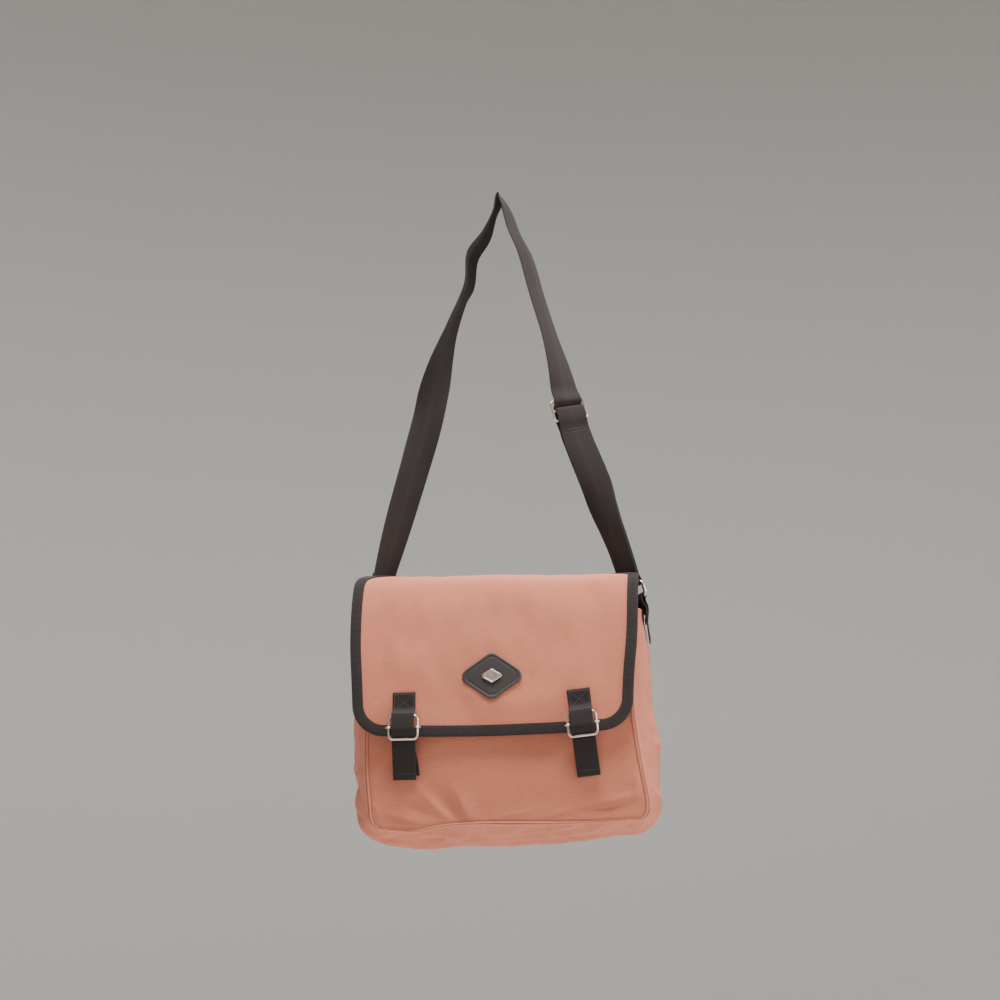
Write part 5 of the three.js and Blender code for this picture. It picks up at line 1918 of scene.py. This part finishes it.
    def build(self, finishes: Finishes) -> None:
        """Builds the closure's five pieces."""
        name = self.side.value
        strap, tab = self.strap_stations(), self.tab_stations()
        band = Webbing(self.width, hem=0.0085).build(f"closure_webbing_{name}", strap)
        dress(band, finishes.webbing, "webbing", f"closure_strap_{name}")
        loop = Webbing(self.width - 2 * self.tab_play).build(f"buckle_tab_webbing_{name}", tab)
        dress(loop, finishes.webbing, "webbing", f"buckle_tab_{name}")
        thread = stitches(f"closure_stitches_{name}", self.sewing(strap), pitch=0.0027)
        dress(thread, finishes.dark_thread, "webbing")
        middle = self.centre + self.front * (self.level + self.buckle_out)
        width, height = self.buckle_width - self.wire, self.buckle_height - self.wire
        path = rounded_loop(middle, self.wide, -self.downward, width, height, self.corner)
        frame_piece = Wire(self.wire).build(f"buckle_loop_{name}", path, self.front, closed=True)
        dress(frame_piece, finishes.metal, "metal", f"buckle_frame_{name}")
        reach, curl = width / 2, self.wire / 2 + GAUGE.gap + self.bar / 2
        angle = np.radians(np.linspace(225, 0, 22))
        x, out = reach - curl * np.cos(angle), curl * np.sin(angle)
        straight = np.linspace(x[-1], -x[-1], 12)[1:-1]
        x = np.concatenate([x, straight, -x[::-1]])
        out = np.concatenate([out, straight * 0, out[::-1]])
        path = middle + self.wide * x[:, None] + self.front * out[:, None]
        rod = Wire(self.bar).build(f"buckle_rod_{name}", path, self.downward, closed=False)
        dress(rod, finishes.metal, "metal", f"buckle_bar_{name}")


@dataclass
class ShoulderStrap:
    """The long webbing, its slider and the rings and tabs that hold it to the gusset."""

    body: Body
    width: float = 0.039
    spread: float = 0.1565
    drop: float = 0.5165
    back: float = 0.012
    tail: float = 0.034
    slider_drop: float = 0.2885
    slider_height: float = 0.029
    slider_wire: float = 0.0034
    slider_tail: float = 0.032
    ring_height: float = 0.022
    ring_wire: float = 0.004
    ring_play: float = 0.0011
    tab_sewn: float = 0.024
    tab_free: float = 0.013
    tab_rise: float = 0.002
    fold_gain: float = 2.2
    loop_steps: int = 6
    strap_steps: int = 84

    def __post_init__(self) -> None:
        """Lays out the strap's middle line."""
        half = GAUGE.webbing / 2
        self.curve = Curve(np.array([
            (row.out * self.spread, row.drop * self.back, half - row.drop * (self.drop + half))
            for row in STRAP_PLACES
        ]))
        self.layer = GAUGE.webbing + GAUGE.gap * 1.2
        samples = np.linspace(0.5, 1, 4001)
        self.right_orders = samples
        self.right_drops = -self.curve.point(samples)[:, 2]

    def frame(self, order: Values) -> Stations:
        """Places of the strap at orders along its middle line.

        The width direction is turned from -Y about Z by the table's angle, then set square
        to the run, and the face is the run across the width.
        """
        order = np.atleast_1d(np.asarray(order, dtype=float))
        rows = len(STRAP_PLACES)
        placed = tuple(PlacedTwist(k / (rows - 1), row.turn, row.fold) for k, row in enumerate(STRAP_PLACES))
        run = self.curve.tangent(order)
        turn = np.radians(read(placed, "order", order, "turn"))
        wide = laid(np.sin(turn), -np.cos(turn), turn * 0)
        wide = unit(wide - run * np.sum(wide * run, axis=-1, keepdims=True))
        fold = np.radians(np.maximum(read(placed, "order", order, "fold"), 0)) * self.fold_gain
        return Stations(self.curve.point(order), run, wide, unit(np.cross(run, wide)), fold)

    def right(self, drop: Values) -> Array:
        """Order of a place on the right leg at a drop below the hang point."""
        return np.interp(drop, self.right_drops, self.right_orders)

    def stations(self) -> Stations:
        """The whole webbing: left end round its ring, both legs, slider, right ring and back.

        On the right it dives through the slider, runs down behind, turns round the ring,
        comes back up in front and turns round the slider's centre bar to its sewn end.
        """
        layer, single = self.layer, self.layer / 2
        web, gap = GAUGE.webbing, GAUGE.gap
        ring_loop = (self.ring_wire / 2 + gap + web / 2) * 1.15
        bar_turn = (self.slider_wire / 2 + gap + web / 2) * 1.24
        spacing = (self.slider_height - self.slider_wire) / 2
        rear = bar_turn + layer
        near = [self.tail / self.curve.length * share for share in (1.0, 0.6, 0.25)]
        left = [
            self.frame(near[0]).beside(-layer),
            self.frame(near[1]).beside(-layer),
            self.frame(near[2]).beside(-ring_loop),
            self.frame(0.0).wrap(ring_loop, 180, 360, self.loop_steps),
            self.frame(near[2]).beside(ring_loop),
            self.frame(near[1]),
        ]
        first = self.tail * 1.1 / self.curve.length
        legs = self.frame(np.linspace(first, self.right(self.slider_drop - spacing * 2), self.strap_steps))

        def below(distance: Values, offset: float) -> Stations:
            """Places below the slider's centre bar, facing the front."""
            return self.frame(self.right(self.slider_drop + distance)).turned().beside(offset)

        dive = [
            below(-spacing, bar_turn), below(-spacing * 0.72, bar_turn * 0.75),
            below(-spacing * 0.42, -bar_turn * 0.45), below(-spacing * 0.12, -rear),
            below(spacing, -rear), below(spacing * 1.8, -single * 3),
            below(self.slider_tail, -single * 3), below(self.slider_tail * 1.5, -single),
        ]
        shares = np.array([0.75, 0.8, 0.85, 0.9, 0.94, 0.97, 0.985])
        lower = self.drop * shares - self.slider_drop
        lower = lower[lower > self.slider_tail * 1.6]
        turn = self.frame(1.0).turned().wrap(ring_loop, 180, 0, self.loop_steps)
        home = [
            below(self.slider_tail * 1.5, single), below(self.slider_tail, single),
            below(spacing * 1.8, single), below(spacing, bar_turn),
        ]
        over = self.frame(self.right(self.slider_drop)).turned().wrap(bar_turn, 0, -180, self.loop_steps)
        end = [below(spacing, -bar_turn), below(spacing * 1.8, -single), below(self.slider_tail, -single)]
        parts = [*left, legs, *dive, below(lower, -single), turn, below(lower[::-1], single), *home, over, *end]
        return Stations.join(parts).facing()

    def loop(self, name: str, frame_at: Stations, height: float, gauge: float) -> Piece:
        """A wire loop square to the strap: a rounded rectangle with room for the webbing."""
        width = self.width + 2 * self.ring_play + gauge
        path = rounded_loop(frame_at.at[0], frame_at.wide[0], -frame_at.run[0], width, height - gauge, gauge * 1.2)
        return Wire(gauge).build(name, path, frame_at.face[0], closed=True)

    def slider(self, finishes: Finishes) -> None:
        """Builds the slider's frame and its centre bar."""
        place = self.frame(self.right(self.slider_drop))
        span = np.linspace(-self.width / 2 + 0.0025, self.width / 2 - 0.0025, 16)
        rows = []
        for distance in (self.slider_tail - 0.0030, self.slider_tail - 0.0068):
            below = self.frame(self.right(self.slider_drop + distance)).turned()
            lift = self.layer / 2 + GAUGE.webbing / 2 - SUNK
            rows.append((below.at + below.wide * span[:, None] + below.face * lift, np.repeat(below.face, 16, axis=0)))
        dress(stitches("slider_stitches", rows, pitch=0.0028), finishes.dark_thread, "webbing")
        piece = self.loop("slider_loop", place, self.slider_height, self.slider_wire)
        dress(piece, finishes.metal, "metal", "slider_frame")
        reach = self.width / 2 + self.ring_play - GAUGE.gap
        path = place.at + place.wide * np.linspace(-reach, reach, 8)[:, None]
        rod = Wire(self.slider_wire).build("slider_rod", path, place.face[0], closed=False)
        dress(rod, finishes.metal, "metal", "slider_bar")

    def ring_and_tab(self, side: Side, finishes: Finishes) -> None:
        """Builds one ring, and the doubled tab that is sewn to the gusset and holds it."""
        name, sign, body = side.value, side.sign, self.body
        end = self.frame(0.0 if side is Side.LEFT else 1.0)
        downward = end.run * sign
        inside = (self.ring_height - self.ring_wire) / 2
        centre = Stations(end.at + downward * inside, downward, end.wide, end.face, end.fold)
        piece = self.loop(f"ring_loop_{name}", centre, self.ring_height, self.ring_wire)
        dress(piece, finishes.metal, "metal", f"ring_{name}")
        bar = end.at[0] + downward[0] * inside * 2
        mouth = body.z_at(body.mouth_inset / body.height)
        lift = GAUGE.gap * 4 + self.layer
        sewn_top = mouth - self.tab_free
        levels = (sewn_top - self.tab_sewn, sewn_top, mouth)
        faces = [abs(float(body.edge_x(side, body.share_down(z)))) + float(body.swell(side, body.share_down(z))) for z in levels]
        rises = (0.0, 0.0, self.tab_rise)
        straight, wide_end = np.array([0.0, float(sign), 0.0]), end.wide[0]
        at = [np.array([sign * (face + lift + rise), self.back, z]) for face, rise, z in zip(faces, rises, levels)]
        at.append(bar + downward[0] * self.ring_wire * 1.4)
        wide = [straight, straight, unit(mix(straight, wide_end, 0.08)), unit(mix(straight, wide_end, 0.8))]
        radius = self.ring_wire / 2 + GAUGE.gap + GAUGE.webbing / 2
        targets = [*at[1:], bar]
        sources = [at[0], *at[:-1]]
        spreads = (self.layer / 2, self.layer / 2, self.layer / 2, radius * 0.75)
        out = [unit(np.cross(w, unit(b - a))) for w, a, b in zip(wide, sources, targets)]
        outer = [p + o * s for p, o, s in zip(at, out, spreads)]
        inner = [p - o * s for p, o, s in zip(at, out, spreads)][1:][::-1]
        angle = np.linspace(0, math.pi, self.loop_steps + 1)[:, None]
        outward = end.face[0] * sign
        around = bar + outward * radius * np.cos(angle) - downward[0] * radius * np.sin(angle)
        points = np.concatenate([outer, around, inner])
        widths = np.concatenate([wide, np.repeat(wide_end[None], len(around), axis=0), wide[1:][::-1]])
        flat = np.zeros(len(points))
        places = Stations(points, widths, widths, widths, flat).facing().refined(6)
        tab = Webbing(self.width - 0.001).build(f"ring_tab_webbing_{name}", places)
        dress(tab, finishes.webbing, "webbing", f"ring_tab_{name}")
        rows = []
        span = np.linspace(-self.width / 2 + 0.003, self.width / 2 - 0.003, 14)
        for length in (0.003, self.tab_sewn - 0.004):
            points, normals = places.place(np.full(14, length), span, 0.0)
            outwards = normals * np.sign(np.sum(normals * np.array([sign, 0.0, 0.0]), axis=-1, keepdims=True))
            rows.append((points + outwards * (GAUGE.webbing / 2 - SUNK), outwards))
        dress(stitches(f"ring_tab_stitches_{name}", rows, pitch=0.0028), finishes.dark_thread, "webbing")

    def build(self, finishes: Finishes) -> None:
        """Builds the webbing, its sewing, the slider, the rings and the tabs."""
        places = self.stations().refined(3)
        band = Webbing(self.width, rib=0.00012).build("shoulder_webbing", places)
        dress(band, finishes.strap, "webbing", "shoulder_strap")
        log.info("shoulder webbing %.3f m long", path_lengths(places.at)[-1])
        self.slider(finishes)
        for side in Side:
            self.ring_and_tab(side, finishes)


class PlacedTwist(NamedTuple):
    """A strap place by its order along the middle line."""

    order: float
    turn: float
    fold: float


@dataclass(frozen=True)
class Studio:
    """A pale round room with soft lights, and the camera at the photograph's angle."""

    yaw: float = 5.0
    pitch: float = 14.0
    roll: float = 0.6
    distance: float = 2.360
    aim: tuple[float, float, float] = (-0.0043, 0.0, -0.405)
    focal: float = 1.889
    sensor: float = 36.0
    floor_z: float = -1.5
    room: float = 6.0
    wall_top: float = 6.5
    cove: float = 1.6
    paper: Color = (0.78, 0.77, 0.75)

    def camera(self) -> None:
        """Places the camera: turned by its yaw, looking up by its pitch, leant by its roll."""
        a, e, r = (math.radians(value) for value in (self.yaw, -self.pitch, self.roll))
        back = np.array([math.sin(a) * math.cos(e), -math.cos(a) * math.cos(e), math.sin(e)])
        right = np.array([math.cos(a), math.sin(a), 0.0])
        up = np.cross(back, right)
        columns = (right * math.cos(r) - up * math.sin(r), up * math.cos(r) + right * math.sin(r), back)
        data = bpy.data.cameras.new("camera")
        data.sensor_width = self.sensor
        data.lens = self.focal * self.sensor
        data.clip_end = 40.0
        camera = bpy.data.objects.new("camera", data)
        turned = Matrix([list(row) for row in np.stack(columns, axis=1)]).to_4x4()
        turned.translation = Vector(np.array(self.aim) + self.distance * back)
        camera.matrix_world = turned
        bpy.context.scene.collection.objects.link(camera)
        bpy.context.scene.camera = camera

    def backdrop(self) -> None:
        """Builds the floor and wall: one profile with a quarter-circle cove, turned round Z."""
        cove = np.linspace(0, math.pi / 2, 12)
        radius = np.concatenate([[0.001], np.linspace(0.5, self.room - self.cove, 6),
                                 self.room - self.cove + self.cove * np.sin(cove[1:]), [self.room]])
        height = np.concatenate([np.full(7, self.floor_z),
                                 self.floor_z + self.cove * (1 - np.cos(cove[1:])), [self.wall_top]])
        angle = np.linspace(0, 2 * math.pi, 97)[:-1]
        points = laid(
            radius[:, None] * np.cos(angle), radius[:, None] * np.sin(angle),
            np.broadcast_to(height[:, None], (len(radius), len(angle))),
        )
        quads = ring_quads(*points.shape[:2])
        mesh = bpy.data.meshes.new("backdrop")
        mesh.from_pydata(points.reshape(-1, 3).tolist(), [], quads.tolist())
        mesh.polygons.foreach_set("use_smooth", np.ones(len(mesh.polygons), dtype=bool))
        paper = Coat("pale_paper")
        shader = paper.tree.nodes["Principled BSDF"]
        paper.feed(shader, {"Base Color": rgba(self.paper), "Roughness": 0.95})
        mesh.materials.append(paper.material)
        room = bpy.data.objects.new("backdrop", mesh)
        bpy.context.scene.collection.objects.link(room)

    def light(self, name: str, place: tuple, size: float, power: float, color: tuple) -> None:
        """Adds one square soft light that looks at the bag's middle."""
        data = bpy.data.lights.new(name, "AREA")
        data.shape, data.size, data.energy, data.color = "SQUARE", size, power, color
        lamp = bpy.data.objects.new(name, data)
        lamp.location = place
        lamp.rotation_euler = (Vector(place) - Vector((0.0, 0.0, -0.6))).to_track_quat("Z", "Y").to_euler()
        bpy.context.scene.collection.objects.link(lamp)

    def build(self) -> None:
        """Sets up the camera, the room and the lights."""
        self.camera()
        self.backdrop()
        self.light("overhead", (0.1, -0.55, 1.7), 1.0, 165.0, (1.0, 0.98, 0.95))
        self.light("right", (2.4, -0.5, 0.0), 1.0, 55.0, (1.0, 0.96, 0.92))
        self.light("low", (-0.7, -2.6, -1.35), 0.7, 9.0, (1.0, 0.98, 0.94))
        self.light("rear", (-0.8, 2.4, 1.6), 1.4, 80.0, (1.0, 0.98, 0.95))
        world = bpy.data.worlds.new("soft_sky")
        world.use_nodes = True
        sky = world.node_tree.nodes["Background"]
        sky.inputs["Color"].default_value = (0.92, 0.93, 0.95, 1.0)
        sky.inputs["Strength"].default_value = 0.12
        bpy.context.scene.world = world


def main() -> None:
    """Builds the bag sub-assembly by sub-assembly."""
    logging.basicConfig(level=logging.INFO, format="%(name)s: %(message)s")
    Studio().build()
    finishes = Finishes()
    body = Body()
    flap = Flap(body)
    body.build(finishes)
    flap.build(finishes)
    for closure in (
        Closure(flap, Side.LEFT, across=-0.115, tilt=0.0, shift=0.005),
        Closure(flap, Side.RIGHT, across=0.096, tilt=6.0, shift=0.0),
    ):
        closure.build(finishes)
    ShoulderStrap(body).build(finishes)
    bpy.context.view_layer.update()


if __name__ == "__main__":
    main()
